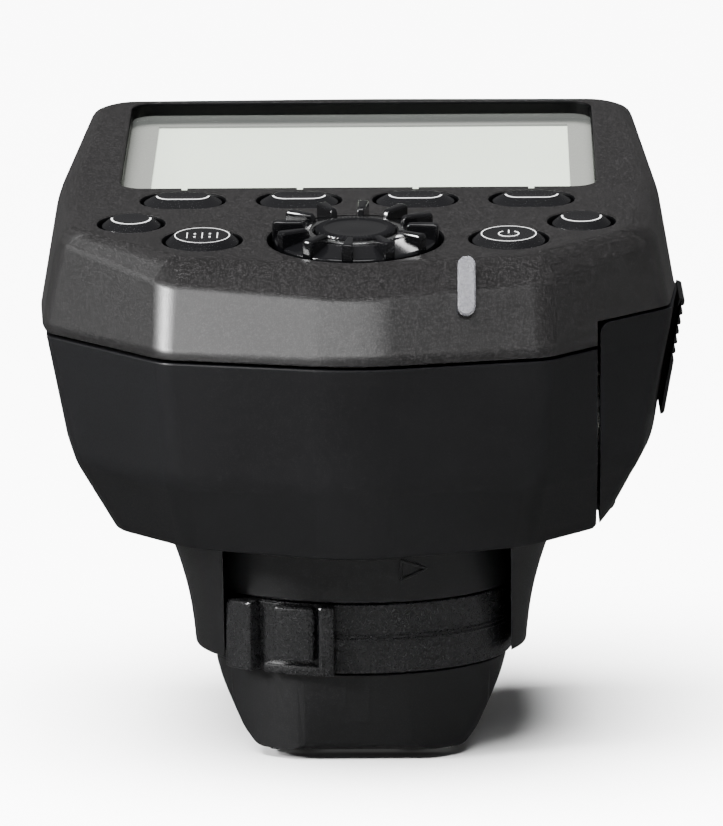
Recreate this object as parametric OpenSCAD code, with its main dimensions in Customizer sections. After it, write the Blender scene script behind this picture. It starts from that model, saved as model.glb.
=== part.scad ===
// Wireless flash trigger that slides into a camera's accessory shoe.
// Frame: +Z up, -Y towards the person using it, origin at the middle of the foot's lower face.

/* [Body] */
// Height of the body's lower rim above the foot's lower face
rim_z = 23.1; // [22.6:0.1:23.6]
// Height of the line where the body's lower wall bends inwards
bend_z = 30.7; // [30.2:0.1:31.2]
// Height of the seam between the upper and lower shell
seam_z = 43.05; // [42.8:0.05:43.3]
// Thickness of the shell walls
wall = 1.8; // [1.6:0.1:1.9]
// Gap at the seams between shell pieces
seam_gap = 0.3; // [0.2:0.05:0.4]

/* [Control panel] */
// Tilt of the control panel towards the user
tilt = 8; // [7:0.5:9]
// Depth position of the panel's front edge
panel_y = -27; // [-27.5:0.25:-26.5]
// Height of the panel's front edge
panel_z = 52.4; // [52:0.1:52.8]
// Width of the screen opening
screen_w = 48.2; // [46:0.2:49]
// Length of the screen opening up the panel
screen_l = 33.4; // [32:0.2:34]
// Depth of the screen's front below the panel
screen_depth = 1.4; // [1.3:0.05:1.45]

/* [Controls] */
// Radius of the jog wheel over its fins
wheel_r = 8.3; // [8:0.1:8.4]
// Number of fins round the jog wheel
wheel_fins = 12; // [10:1:14]
// Height of the wheel's fins above the panel
fin_top = 1.65; // [1.4:0.05:1.8]
// Radius of the menu and power buttons
main_btn_r = 3.1; // [2.9:0.05:3.2]
// Radius of the two small buttons
small_btn_r = 2.5; // [2.3:0.05:2.6]
// Length of a soft key's cap
key_l = 7.2; // [6.8:0.1:7.4]
// Width of a soft key's cap
key_w = 4.6; // [4.4:0.1:4.8]
// Travel of the buttons
btn_travel = 0.5; // [0.3:0.1:0.5]

/* [Battery compartment] */
// Diameter of a battery cell
cell_d = 14.5; // [14:0.1:14.5]
// Length of a battery cell
cell_l = 50; // [49.5:0.1:50]
// Distance of the door's front seam from the middle of the body
door_x = 24.2; // [24:0.1:24.6]

/* [Neck and lock] */
// Radius of the neck's skirt at its lower edge
skirt_r = 17; // [16.9:0.05:17.1]
// Radius of the lock ring
ring_r = 15.4; // [15.2:0.05:15.4]
// Height of the lock ring's lower face
ring_z = 8.9; // [8.9:0.05:9]
// Height of the lock ring
ring_h = 7.1; // [7:0.05:7.1]

/* [Shoe foot] */
// Width and length of the foot plate
foot_w = 18.5; // [18.3:0.05:18.6]
// Thickness of the foot plate
foot_t = 2; // [1.9:0.05:2]
// Width of the stem between the shoe's rails
stem_w = 12.4; // [12:0.1:12.4]
// Height of the gap for the shoe's rails
rail_gap = 2.2; // [2.2:0.1:2.3]

/* [Hidden] */
$fn = 48;

case_colour = [0.10, 0.10, 0.11];
lower_colour = [0.07, 0.07, 0.08];
metal_colour = [0.75, 0.75, 0.78];
gold_colour = [0.85, 0.68, 0.30];
board_colour = [0.05, 0.30, 0.16];

// ---- Outlines: [x, y, corner radius] from front middle to back middle, right half
rim_half = [[0, -31, 10], [16.8, -22.8, 6], [24.1, -12.2, 8], [26.3, 2, 50],
    [24.3, 28.5, 8], [0, 29.2, 200]];
bend_half = [[0, -34.3, 13], [18, -28.7, 5], [28.3, -15, 6], [30.1, 2, 60],
    [28.4, 33, 7.5], [0, 33.6, 200]];
seam_half = [[0, -37, 13], [19, -30.8, 4], [31.2, -12.4, 5.5], [32.05, 3, 60],
    [30.2, 36, 4.2], [0, 36.6, 200]];
flare_half = [[0, -36.9, 13], [19.1, -30.8, 4.5], [31.6, -12.6, 6], [32.6, 3, 60],
    [30.5, 36.2, 4.2], [0, 36.8, 200]];
ridge_half = [[0, -33.9, 13], [18.9, -27.9, 5], [30, -12.6, 6.5], [30.75, 3, 60],
    [28.5, 35.6, 4], [0, 36.2, 200]];
brow_half = [[0, -30, 22], [17.8, -26.2, 5], [28.9, -14, 6], [30.3, 3, 60],
    [28, 35.2, 3.6], [0, 35.8, 200]];
panel_half = [[0, -27.2, 30], [16.5, -25, 5], [27.2, -15.5, 5], [29, 2, 60],
    [26.8, 34.2, 3.4], [0, 34.7, 200]];

// Depth of each upper ring below the panel's plane
ridge_drop = 1.9;
brow_drop = 0.55;
arc_steps = 5;

// The whole outline, with the left half mirrored from the right
function whole(half) = concat(half, [for (i = [len(half) - 2 : -1 : 1])
    [-half[i][0], half[i][1], half[i][2]]]);
function flat(c) = [c[0], c[1]];
function unit(v) = v / norm(v);
// The arc that rounds corner c between its neighbours a and b
function corner_arc(a, c, b, r) = let (
    u = unit(a - c), w = unit(b - c), half_angle = acos(u * w) / 2,
    run = r / tan(half_angle), mid = c + unit(u + w) * r / sin(half_angle),
    p = c + u * run - mid, q = c + w * run - mid,
    start = atan2(p[1], p[0]), turn = atan2(q[1], q[0]) - start,
    sweep = turn > 180 ? turn - 360 : (turn < -180 ? turn + 360 : turn))
    [for (i = [0 : arc_steps]) mid + r * [cos(start + sweep * i / arc_steps),
        sin(start + sweep * i / arc_steps)]];
// Moves every side of an outline inwards by d
function inset(cs, d) = let (n = len(cs)) [for (i = [0 : n - 1]) let (
    c = flat(cs[i]), u = unit(flat(cs[(i + n - 1) % n]) - c),
    w = unit(flat(cs[(i + 1) % n]) - c), half_angle = acos(u * w) / 2,
    moved = c + unit(u + w) * d / sin(half_angle))
    [moved[0], moved[1], max(cs[i][2] - d, 0.4)]];
function outline(cs) = let (n = len(cs)) [for (i = [0 : n - 1])
    each corner_arc(flat(cs[(i + n - 1) % n]), flat(cs[i]), flat(cs[(i + 1) % n]), cs[i][2])];
// A ring of points at one height, and one on a plane parallel to the panel
function level_ring(half, z, d = 0) = [for (p = outline(inset(whole(half), d)))
    [p[0], p[1], z]];
function panel_height(y, drop = 0) = panel_z + (y - panel_y) * tan(tilt) - drop / cos(tilt);
function tilted_ring(half, drop, d = 0) = [for (p = outline(inset(whole(half), d)))
    [p[0], p[1], panel_height(p[1], drop)]];

// A closed solid through rings that all have the same number of points
module loft(rings) {
    n = len(rings[0]);
    m = len(rings);
    polyhedron(points = [for (ring = rings) each ring],
        faces = concat([[for (i = [0 : n - 1]) i]],
            [for (k = [0 : m - 2], i = [0 : n - 1])
                [k * n + i, (k + 1) * n + i, (k + 1) * n + (i + 1) % n]],
            [for (k = [0 : m - 2], i = [0 : n - 1])
                [k * n + i, (k + 1) * n + (i + 1) % n, k * n + (i + 1) % n]],
            [[for (i = [n - 1 : -1 : 0]) (m - 1) * n + i]]));
}

// Places its children on the panel: x across, v up the panel, h above it
module on_panel(x, v, h = 0) {
    translate([0, panel_y, panel_z]) rotate([tilt, 0, 0]) translate([x, v, h]) children();
}

// A round bar from z0 to z1, and a plate with two round ends along X
module rod(r, z0, z1) {
    translate([0, 0, z0]) cylinder(r = r, h = z1 - z0);
}
module tube(r_out, r_in, z0, z1) {
    difference() {
        rod(r_out, z0, z1);
        rod(r_in, z0 - 1, z1 + 1);
    }
}
module slot_plate(length, width, z0, z1) {
    translate([0, 0, z0]) linear_extrude(z1 - z0) {
        square([length - width, width], center = true);
        for (side = [-1, 1]) translate([side * (length - width) / 2, 0]) circle(d = width);
    }
}
module block(x0, x1, y0, y1, z0, z1) {
    translate([x0, y0, z0]) cube([x1 - x0, y1 - y0, z1 - z0]);
}
// Part of a ring between two bearings, measured from the front towards the right
module sector(r_in, r_out, from, to, z0, z1) {
    rotate([0, 0, from - 90]) rotate_extrude(angle = to - from)
        translate([r_in, z0]) square([r_out - r_in, z1 - z0]);
}
module rounded_plate(w, l, r, z0, z1) {
    translate([0, 0, z0]) linear_extrude(z1 - z0) union() {
        square([w - 2 * r, l], center = true);
        square([w, l - 2 * r], center = true);
        for (sx = [-1, 1], sy = [-1, 1])
            translate([sx * (w / 2 - r), sy * (l / 2 - r)]) circle(r = r);
    }
}
// A coil spring of round wire standing on z0
module coil(r, wire_r, turns, z0, z1) {
    per_turn = 10;
    sides = 6;
    rings = turns * per_turn;
    rise = (z1 - z0 - 2 * wire_r) / rings;
    pts = [for (i = [0 : rings], s = [0 : sides - 1]) let (
        a = i * 360 / per_turn, b = s * 360 / sides, rr = r + wire_r * cos(b))
        [rr * cos(a), rr * sin(a), z0 + wire_r + rise * i + wire_r * sin(b)]];
    polyhedron(points = pts, faces = concat(
        [[for (s = [sides - 1 : -1 : 0]) s]],
        [for (i = [0 : rings - 1], s = [0 : sides - 1]) let (t = (s + 1) % sides)
            [i * sides + s, (i + 1) * sides + t, (i + 1) * sides + s]],
        [for (i = [0 : rings - 1], s = [0 : sides - 1]) let (t = (s + 1) % sides)
            [i * sides + s, i * sides + t, (i + 1) * sides + t]],
        [[for (s = [0 : sides - 1]) rings * sides + s]]));
}

// ---- Places of the controls on the panel
key_xs = [-17.6, -5.87, 5.87, 17.6];
key_v = 22.9;
small_btn_x = 22.5;
small_btn_v = 14.5;
main_btn_x = 15.2;
main_btn_v = 8.3;
wheel_v = 8.7;
screen_v = 27.6 + screen_l / 2;
well_extra = 0.85;
well_depth = 0.9;
cap_gap = 0.2;
board_top = -6.2;
board_bottom = board_top - 1.2;
btn_top = 0.45;
flange_top = -wall - 0.15;
flange_bottom = flange_top - 0.8;
stem_end = board_top + 1.15 + btn_travel + 0.05;
cup_floor = -2.4;
cup_t = 1;
wheel_well_r = wheel_r + 0.4;

// ---- Shell solids
module upper_solid(d = 0, top_drop = 0, bottom = seam_z + seam_gap) {
    loft([level_ring(seam_half, bottom, d),
        level_ring(flare_half, bottom + 0.8, d),
        tilted_ring(ridge_half, ridge_drop + top_drop * 0.7, d),
        tilted_ring(brow_half, brow_drop + top_drop, d),
        tilted_ring(panel_half, top_drop, d * 0.7)]);
}
module lower_solid(d = 0, top = seam_z, bottom = rim_z) {
    loft([level_ring(rim_half, bottom, d), level_ring(bend_half, bend_z, d),
        level_ring(seam_half, top, d)]);
}
// The door's piece of the side, in plan and height
door_top = 45.5;
door_back = 29.5;
module door_region(gap = 0) {
    block(door_x - gap, 40, -30, door_back + gap, rim_z - 1, door_top + gap);
}
// The side wall that the door is cut from runs on a little above the seam
module door_solid(d, bottom, top) {
    loft([level_ring(rim_half, bottom, d), level_ring(bend_half, bend_z, d),
        level_ring(seam_half, seam_z, d), level_ring(flare_half, top, d + 0.1)]);
}
boss_front = [7.8, -22.8];
boss_back = [19, 21.5];
boss_r = 2.4;
post_top = 47.5;
screw_r = 1;
module at_bosses() {
    for (side = [-1, 1]) {
        translate([side * boss_front[0], boss_front[1], 0]) children();
        translate([side * boss_back[0], boss_back[1], 0]) children();
    }
}

module key_wells() {
    for (x = key_xs) on_panel(x, key_v) {
        slot_plate(key_l + 1.4, key_w + 1.4, -well_depth, 3);
        slot_plate(key_l + 2 * cap_gap, key_w + 2 * cap_gap, -4, 3);
    }
    for (side = [-1, 1]) {
        on_panel(side * small_btn_x, small_btn_v) {
            rod(small_btn_r + well_extra, -well_depth, 3);
            rod(small_btn_r + cap_gap, -4, 3);
        }
        on_panel(side * main_btn_x, main_btn_v) {
            rod(main_btn_r + well_extra, -well_depth, 3);
            rod(main_btn_r + cap_gap, -4, 3);
        }
    }
}

// ---- Light pipe: its route over the front edge at its own distance from the middle
pipe_x = 11;
pipe_w = 1.75;
// How far up the brow the pipe starts, as a share of the way to the flat panel
pipe_share = 0.25;
function front_y(half, x) = half[0][1] + (half[1][1] - half[0][1]) * x / half[1][0];
pipe_brow = [front_y(brow_half, pipe_x), panel_height(front_y(brow_half, pipe_x), brow_drop)];
pipe_edge = [front_y(panel_half, pipe_x), panel_height(front_y(panel_half, pipe_x))];
pipe_panel = pipe_brow + (pipe_edge - pipe_brow) * pipe_share;
pipe_ridge = [front_y(ridge_half, pipe_x), panel_height(front_y(ridge_half, pipe_x), ridge_drop)];
pipe_foot = [front_y(ridge_half, pipe_x) - 0.9, pipe_ridge[1] - 2.5];
module pipe_shape(side_gap, proud) {
    translate([pipe_x, 0, 0]) rotate([90, 0, 90])
        linear_extrude(pipe_w + 2 * side_gap, center = true)
            polygon([pipe_panel + [0, proud], pipe_brow + [-proud * 0.3, proud],
                pipe_ridge + [-proud, proud * 0.5], pipe_foot + [-proud, -side_gap],
                pipe_foot + [2.6, -side_gap], [pipe_panel[0] + side_gap, pipe_foot[1] - side_gap],
                pipe_panel + [side_gap, 0]]);
}

// ---- Sockets on the left side
port_y0 = 6;
port_z0 = 45.2;
port_z1 = 51.2;
sync_y = 11.4;
usb_y = 21.6;
socket_z = 47.6;
cover_x = -29.85;
cover_y = 27.1;
jack_r = 1.8;
jack_len = 9;
board_z = 42.5;
board_t = 1.2;

module upper_shell() {
    color(case_colour) difference() {
        union() {
            difference() {
                upper_solid();
                upper_solid(wall, wall, seam_z - 1);
            }
            intersection() {
                on_panel(0, wheel_v) rod(wheel_well_r + 1, cup_floor - cup_t, 2);
                upper_solid(0.5, 0.5);
            }
            intersection() {
                union() {
                    for (side = [-1, 1]) {
                        translate([side * boss_front[0], boss_front[1], 0])
                            rod(boss_r, seam_z + 0.4, 60);
                        translate([side * boss_back[0], boss_back[1], 0]) {
                            rod(boss_r, seam_z + 0.4, post_top);
                            block(-0.7, 0.7, 0, 20, board_z + board_t + 0.3, post_top);
                        }
                    }
                }
                upper_solid(0.5, 0.5, seam_z - 1);
            }
        }
        at_bosses() rod(0.8, seam_z - 1, post_top - 1);
        on_panel(0, wheel_v) {
            rod(wheel_well_r, cup_floor, 5);
            rod(5.4, cup_floor - 3, 5);
        }
        key_wells();
        on_panel(0, screen_v) {
            rounded_plate(screen_w, screen_l, 2.2, -5, 3);
            rounded_plate(screen_w + 3, screen_l + 3, 3, -5, -screen_depth);
        }
        pipe_shape(0.05, 0.4);
        door_region(seam_gap);
        difference() {
            block(-40, -20, port_y0 - 0.2, cover_y + 1.15, port_z0 - 0.2, port_z1 + 0.2);
            upper_solid(1.1, 1.1);
        }
        translate([cover_x, cover_y, 0]) rod(0.55, port_z0 + 1, port_z1 - 1);
        translate([-40, sync_y, socket_z]) rotate([0, 90, 0]) rod(3, 0, 15);
        block(-40, -25, usb_y - 4.7, usb_y + 4.7, socket_z - 1.9, socket_z + 1.9);
    }
}

// ---- Battery door's hinge line
hinge_x = 24.9;
hinge_z = 24.3;
hinge_pin_r = 0.6;
knuckle_r = 1.15;
hinge_y0 = -2.5;
hinge_y1 = 13.5;
lug_l = 2;
module along_hinge(r, y0, y1) {
    translate([hinge_x, y0, hinge_z]) rotate([-90, 0, 0]) rod(r, 0, y1 - y0);
}
floor_top = rim_z + wall;
// The flat cable's two upright runs: through the hub, and in front of the battery tray
flex_y = -9.95;
flex_front_y = -13.3;
flex_w = 6;
flex_t = 0.2;
flex_step_z = 19.4;
module flex_slot(y, z0, z1) {
    block(-flex_w / 2 - 0.3, flex_w / 2 + 0.3, y - 0.4, y + 0.4, z0, z1);
}
// Bearings of the screws from the neck into the case, and from the base into the neck
neck_bearings = [90, 210, 330];
hub_bearings = [60, 180, 300];
module lower_shell() {
    color(lower_colour) difference() {
        union() {
            difference() {
                lower_solid();
                lower_solid(wall, seam_z + 1, rim_z - 1);
                door_region(seam_gap);
                along_hinge(1.75, -13, 29);
            }
            difference() {
                translate([0, 0, rim_z]) linear_extrude(wall)
                    polygon(outline(inset(whole(rim_half), wall + 0.35)));
                along_hinge(1.75, -30, 30);
            }
            difference() {
                translate([0, 0, rim_z]) linear_extrude(wall)
                    polygon(outline(inset(whole(rim_half), wall - 0.5)));
                block(15, 40, -30, 30, 0, 60);
            }
            at_bosses() rod(boss_r, rim_z, seam_z);
            for (y = [hinge_y0, hinge_y1 - lug_l]) {
                along_hinge(knuckle_r, y, y + lug_l);
                block(22.5, hinge_x, y, y + lug_l, rim_z + 0.1, floor_top);
            }
        }
        at_bosses() {
            rod(1.1, rim_z - 1, seam_z + 1);
            rod(2, rim_z - 1, rim_z + 1);
        }
        along_hinge(hinge_pin_r, hinge_y0 - 1, hinge_y1 + 1);
        flex_slot(flex_front_y, rim_z - 1, floor_top + 1);
        for (a = neck_bearings) rotate([0, 0, a]) translate([14.5, 0, 0])
            rod(0.8, rim_z - 1, floor_top + 1);
    }
}

// ---- Door latch: a pad on the slanted right wall
latch_y = 4;
latch_z = 38.9;
latch_slant = 10.5;
// The pad's back leans away from the wall by this much, so that it clears the wall as it slides
latch_relief = 1.6;
latch_x = 31.27;
module on_door(h = 0) {
    translate([latch_x, latch_y, latch_z]) rotate([0, latch_slant, 0]) translate([h, 0, 0]) children();
}
module battery_door() {
    color(lower_colour) difference() {
        union() {
            intersection() {
                difference() {
                    door_solid(0, rim_z + 0.3, seam_z + 3);
                    door_solid(wall, rim_z - 1, seam_z + 5);
                }
                door_region();
            }
            along_hinge(knuckle_r, hinge_y0 + lug_l + 0.2, hinge_y1 - lug_l - 0.2);
        }
        along_hinge(hinge_pin_r + 0.05, -30, 40);
        along_hinge(knuckle_r + 0.3, hinge_y0 - 0.3, hinge_y0 + lug_l + 0.2);
        along_hinge(knuckle_r + 0.3, hinge_y1 - lug_l - 0.2, hinge_y1 + 0.3);
        on_door() block(-3, 3, -1.7, 1.7, -5.2, 5.2);
    }
}
module door_latch() {
    color([0.05, 0.05, 0.05]) on_door() {
        difference() {
            block(0.12, 0.8, -6.5, 6.5, -5.8, 6.3);
            translate([0.115, 0, 2.2]) rotate([0, -latch_relief, 0]) block(-1, 0, -7, 7, -9, 0);
            for (i = [0 : 5]) block(0.5, 2, -5.7, 5.7, 5.3 - i * 0.95, 5.7 - i * 0.95);
        }
        block(-2.2, 0.3, -1.5, 1.5, -2.1, 5);
        block(-2.9, -2.1, -2.6, 2.6, -2.1, 5);
    }
}
module door_hinge_pin() {
    color(metal_colour) along_hinge(hinge_pin_r, hinge_y0, hinge_y1);
}

// ---- Battery cells and their contacts
cell_z = 34.7;
cell_ys = [-4.5, 10.7];
cell_x0 = -24.9;
module along_x(x0, x1, r, y, z) {
    translate([x0, y, z]) rotate([0, 90, 0]) rod(r, 0, x1 - x0);
}
module cell(y, flip) {
    nub = 1;
    body_x0 = cell_x0 + (flip ? nub : 0);
    color([0.75, 0.75, 0.72]) union() {
        along_x(body_x0, body_x0 + cell_l - nub, cell_d / 2, y, cell_z);
        along_x(flip ? cell_x0 : cell_x0 + cell_l - nub - 0.5,
            flip ? cell_x0 + nub + 0.5 : cell_x0 + cell_l, 2.7, y, cell_z);
    }
}
module battery_tray() {
    color([0.12, 0.12, 0.12]) difference() {
        intersection() {
            block(-29, 22.5, cell_ys[0] - 8.3, cell_ys[1] + 8.3, floor_top + 0.05, cell_z);
            lower_solid(wall + 0.25, seam_z, rim_z);
        }
        for (y = cell_ys) along_x(cell_x0 - 0.3, 30, cell_d / 2 + 0.25, y, cell_z);
        for (y = cell_ys) along_x(cell_x0 - 2.7, 30, 4.2, y, cell_z);
        at_bosses() rod(boss_r + 0.2, 20, 50);
    }
}
module battery_springs() {
    color(metal_colour) {
        for (i = [0, 1]) translate([cell_x0 - 2.4, cell_ys[i], cell_z]) rotate([0, 90, 0]) {
            coil(2.6, 0.25, 3, 0.02, 2.35);
            rod(3.4, -0.25, 0);
        }
    }
}
module door_contact() {
    color(metal_colour) {
        block(25.45, 25.8, cell_ys[0] - 3.4, cell_ys[1] + 3.4, cell_z - 3, cell_z + 3);
        for (y = cell_ys) block(25.7, 27.8, y - 1.4, y + 1.4, cell_z - 1, cell_z + 1);
    }
}

// ---- Screen
lcd_top = -screen_depth - 1.25;
module screen_window() {
    color([0.8, 0.85, 0.8, 0.4]) on_panel(0, screen_v)
        rounded_plate(screen_w + 2.6, screen_l + 2.6, 2.8, -screen_depth - 1, -screen_depth - 0.02);
}
module screen_mask() {
    color([0.25, 0.26, 0.25]) on_panel(0, screen_v) difference() {
        rounded_plate(screen_w + 2.4, screen_l + 2.4, 2.7, -screen_depth - 1.17, -screen_depth - 1.03);
        block(-21.4, 21.7, -17.4, 16.1, -5, 0);
    }
}
module lcd_panel() {
    color([0.75, 0.8, 0.74]) on_panel(0, screen_v)
        block(-24.6, 24.6, -17.2, 16.6, lcd_top - 1.2, lcd_top);
}
module lcd_frame() {
    color([0.85, 0.85, 0.85]) intersection() {
        on_panel(0, screen_v) difference() {
            block(-25.4, 25.4, -18, 17.4, board_top + 0.02, lcd_top - 0.3);
            block(-24.75, 24.75, -17.35, 16.75, lcd_top - 1.25, 0);
            block(-23, 23, -15.5, 14.8, board_top - 1, lcd_top - 2.2);
        }
        upper_solid(wall + 0.4, wall + 0.1, seam_z - 1);
    }
}

// ---- Buttons, each with a flange under the panel and a stem down to its switch
module round_cap(r, x, v) {
    color([0.06, 0.06, 0.07]) on_panel(x, v) {
        rod(r, flange_bottom + 0.1, btn_top - 0.25);
        translate([0, 0, btn_top - 0.25]) cylinder(r1 = r, r2 = r - 0.25, h = 0.25);
        rod(r + 0.5, flange_bottom, flange_top);
        rod(1.2, stem_end, flange_bottom + 0.1);
    }
}
module soft_key(x) {
    color([0.06, 0.06, 0.07]) on_panel(x, key_v) {
        slot_plate(key_l, key_w, flange_bottom + 0.1, btn_top);
        slot_plate(key_l + 0.8, key_w + 0.8, flange_bottom, flange_top);
        rod(1.2, stem_end, flange_bottom + 0.1);
    }
}
module switch_body() {
    block(-1.8, 1.8, -1.8, 1.8, board_top + 0.01, board_top + 0.85);
    rod(0.9, board_top + 0.8, board_top + 1.15);
}
module key_switches() {
    color([0.7, 0.7, 0.7]) {
        for (x = key_xs) on_panel(x, key_v - 0.6) switch_body();
        for (side = [-1, 1]) {
            on_panel(side * small_btn_x, small_btn_v) switch_body();
            on_panel(side * main_btn_x, main_btn_v) switch_body();
        }
    }
}

// ---- Jog wheel on the panel
fin_in = 4.95;
fin_turn = -5;
floor_in = 0.65;
floor_out = 0.05;
hub_bore = 3.2;
wheel_bottom = cup_floor + 0.3;
module jog_wheel() {
    color([0.03, 0.03, 0.03]) on_panel(0, wheel_v) {
        rotate_extrude() polygon([[hub_bore, -4.4], [5.1, -4.4], [5.1, wheel_bottom],
            [wheel_r, wheel_bottom], [wheel_r, floor_out], [5.2, floor_in], [4.2, floor_in],
            [4.2, -0.6], [hub_bore, -0.6]]);
        for (i = [0 : wheel_fins - 1]) rotate([0, 0, fin_turn + i * 360 / wheel_fins])
            intersection() {
                tube(wheel_r, fin_in, -1, fin_top);
                translate([0, 0, -0.5]) linear_extrude(fin_top + 0.5)
                    polygon([[0.32, -fin_in + 0.4], [0.6, -wheel_r - 0.2],
                        [-0.6, -wheel_r - 0.2], [-0.32, -fin_in + 0.4]]);
            }
    }
}
module wheel_trim_ring() {
    color(metal_colour) on_panel(0, wheel_v) tube(4.92, 4.3, floor_in + 0.005, floor_in + 0.2);
}
module wheel_button() {
    color([0.05, 0.05, 0.06]) on_panel(0, wheel_v) {
        rod(4.0, 0.15, 0.95);
        translate([0, 0, 0.95]) cylinder(r1 = 4.0, r2 = 3.3, h = 0.25);
        rod(1.75, -4.6, 0.5);
    }
}
module wheel_encoder() {
    color([0.2, 0.2, 0.22]) on_panel(0, wheel_v) {
        tube(6.8, 1.9, board_top + 0.01, -4.7);
        tube(hub_bore - 0.05, 1.9, -5, -0.7);
        rod(1.2, board_top + 0.01, -5.2);
    }
}

// ---- Boards
module control_board() {
    color(board_colour) difference() {
        intersection() {
            on_panel(0, 0) block(-27, 27, 1.2, 57, board_bottom, board_top);
            upper_solid(wall + 0.6, wall, seam_z - 1);
        }
        at_bosses() rod(boss_r + 0.3, 40, 62);
        door_region(1.2);
        block(-30, -16, sync_y - 3.4, sync_y + 3.4, 45, 53);
    }
}
module main_board() {
    color(board_colour) difference() {
        block(-28.2, 22.6, -12.8, 29, board_z, board_z + board_t);
        at_bosses() rod(boss_r + 0.3, 40, 50);
        translate([-28.2, 29, 0]) rotate([0, 0, 45]) block(-2, 2, -2, 2, 40, 50);
    }
}
board_face = board_z + board_t + 0.01;
module radio_module() {
    color(metal_colour) union() {
        block(-6, 12, 8, 24, board_face, board_face + 0.8);
        block(-5, 11, 9, 20, board_face + 0.7, board_face + 2.8);
    }
}
module antenna() {
    color(gold_colour) union() {
        block(-8, 8, 27, 27.8, board_face, board_face + 5);
        block(-8, 8, 25.6, 27.5, board_face, board_face + 0.5);
    }
}
module beeper() {
    color([0.08, 0.08, 0.08]) translate([-15, -4, board_face]) difference() {
        rod(4.2, 0, 3);
        rod(0.8, 2, 4);
    }
}
module light_pipe() {
    color([0.85, 0.87, 0.9, 0.8]) pipe_shape(0, 0.25);
}
module status_led() {
    color([0.9, 0.9, 0.8]) translate([pipe_x, pipe_panel[0], 0])
        block(-0.6, 0.6, 0.2, 1.9, 46.8, 48.9);
}

// ---- Sockets and their cover
socket_x0 = -29.7;
usb_x0 = -29.2;
module sync_socket() {
    color([0.15, 0.15, 0.15]) difference() {
        union() {
            block(-28.2, -16.5, sync_y - 3, sync_y + 3, board_face, socket_z + 2.6);
            translate([socket_x0, sync_y, socket_z]) rotate([0, 90, 0]) rod(2.6, 0, 5);
        }
        translate([socket_x0 - 1, sync_y, socket_z]) rotate([0, 90, 0]) rod(jack_r, 0, jack_len + 1);
    }
}
module usb_socket() {
    color(metal_colour) difference() {
        block(usb_x0, -22, usb_y - 4.4, usb_y + 4.4, socket_z - 1.6, socket_z + 1.6);
        block(usb_x0 - 1, -23.5, usb_y - 4.1, usb_y + 4.1, socket_z - 1.3, socket_z + 1.3);
    }
    color([0.1, 0.1, 0.1]) union() {
        block(usb_x0 + 1, -23.4, usb_y - 3.3, usb_y + 3.3, socket_z - 0.35, socket_z + 0.35);
        block(-27, -22.5, usb_y - 3.5, usb_y + 3.5, board_face, socket_z - 1.55);
    }
}
module port_cover() {
    color([0.06, 0.06, 0.06]) union() {
        intersection() {
            block(-40, -20, port_y0, cover_y, port_z0, port_z1);
            difference() {
                upper_solid();
                upper_solid(0.9, 0.9, seam_z - 1);
            }
        }
        translate([cover_x, cover_y, 0]) rod(0.4, port_z0 + 1.3, port_z1 - 1.3);
    }
}

// ---- Neck, lock ring and base
ledge_z = ring_z + ring_h + 0.2;
neck_top = rim_z - 0.02;
window_from = -13.7;
window_to = 15.3;
band_r = 15.9;
module neck_housing() {
    color(lower_colour) difference() {
        union() {
            difference() {
                rotate_extrude() polygon([[ring_r + 0.3, ring_z + 1], [ring_r + 0.5, ring_z + 0.7],
                    [skirt_r - 0.3, ring_z + 0.7], [skirt_r, ring_z + 1], [skirt_r + 0.15, 12.2],
                    [skirt_r + 0.6, 15], [skirt_r + 1.4, 18], [skirt_r + 2.3, 20.6],
                    [skirt_r + 3.4, neck_top], [ring_r + 0.3, neck_top]]);
                block(window_from, window_to, -30, 0, 0, neck_top + 1);
            }
            tube(band_r, 14.2, ledge_z, neck_top);
            rod(band_r, neck_top - 1.8, neck_top);
            rod(band_r, ledge_z, ledge_z + 1.4);
        }
        rod(8, 0, neck_top - 1);
        rod(6, 0, 30);
        flex_slot(flex_y, 0, flex_step_z);
        flex_slot(flex_front_y, flex_step_z, 30);
        for (a = neck_bearings) rotate([0, 0, a]) translate([14.5, 0, 0])
            rod(0.8, ledge_z + 1.5, 30);
        for (a = hub_bearings) rotate([0, 0, a]) translate([11.5, 0, 0])
            rod(0.8, 0, ledge_z + 2);
    }
}
module neck_flex() {
    t = flex_t / 2;
    color([0.75, 0.45, 0.15]) union() {
        block(-flex_w / 2, flex_w / 2, flex_y - t, flex_y + t, 9.5, flex_step_z + t);
        block(-flex_w / 2, flex_w / 2, flex_front_y - t, flex_y + t, flex_step_z - t,
            flex_step_z + t);
        block(-flex_w / 2, flex_w / 2, flex_front_y - t, flex_front_y + t, flex_step_z - t,
            board_z - 0.02);
        block(-flex_w / 2, flex_w / 2, flex_front_y - t, flex_front_y + 2, board_z - 0.02 - flex_t,
            board_z - 0.02);
    }
}
module lock_ring() {
    z1 = ring_z + ring_h;
    color([0.09, 0.09, 0.10]) union() {
        tube(ring_r, 12.45, ring_z, z1);
        sector(ring_r - 0.1, ring_r + 0.15, -7.5, 66, 12.2, 12.7);
        sector(ring_r - 0.2, 17.3, -52.5, -39.5, ring_z - 0.1, z1 - 0.04);
        sector(ring_r - 0.25, 15.75, -40, -9.2, ring_z - 0.06, z1 - 0.14);
        sector(ring_r - 0.3, 17.0, -31, -15.6, ring_z + 1.4, z1 - 0.18);
        sector(ring_r - 0.35, 16.7, -14.4, -8.6, ring_z - 0.1, z1 - 0.1);
        sector(ring_r - 0.4, 16.62, -36, -9, ring_z - 0.08, ring_z + 0.9);
    }
}
hub_floor = ring_z - 0.2;
base_bottom = foot_t + rail_gap;
pin_y = 7.4;
shoe_half = 10.5;
pin_r = 1.1;
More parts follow.
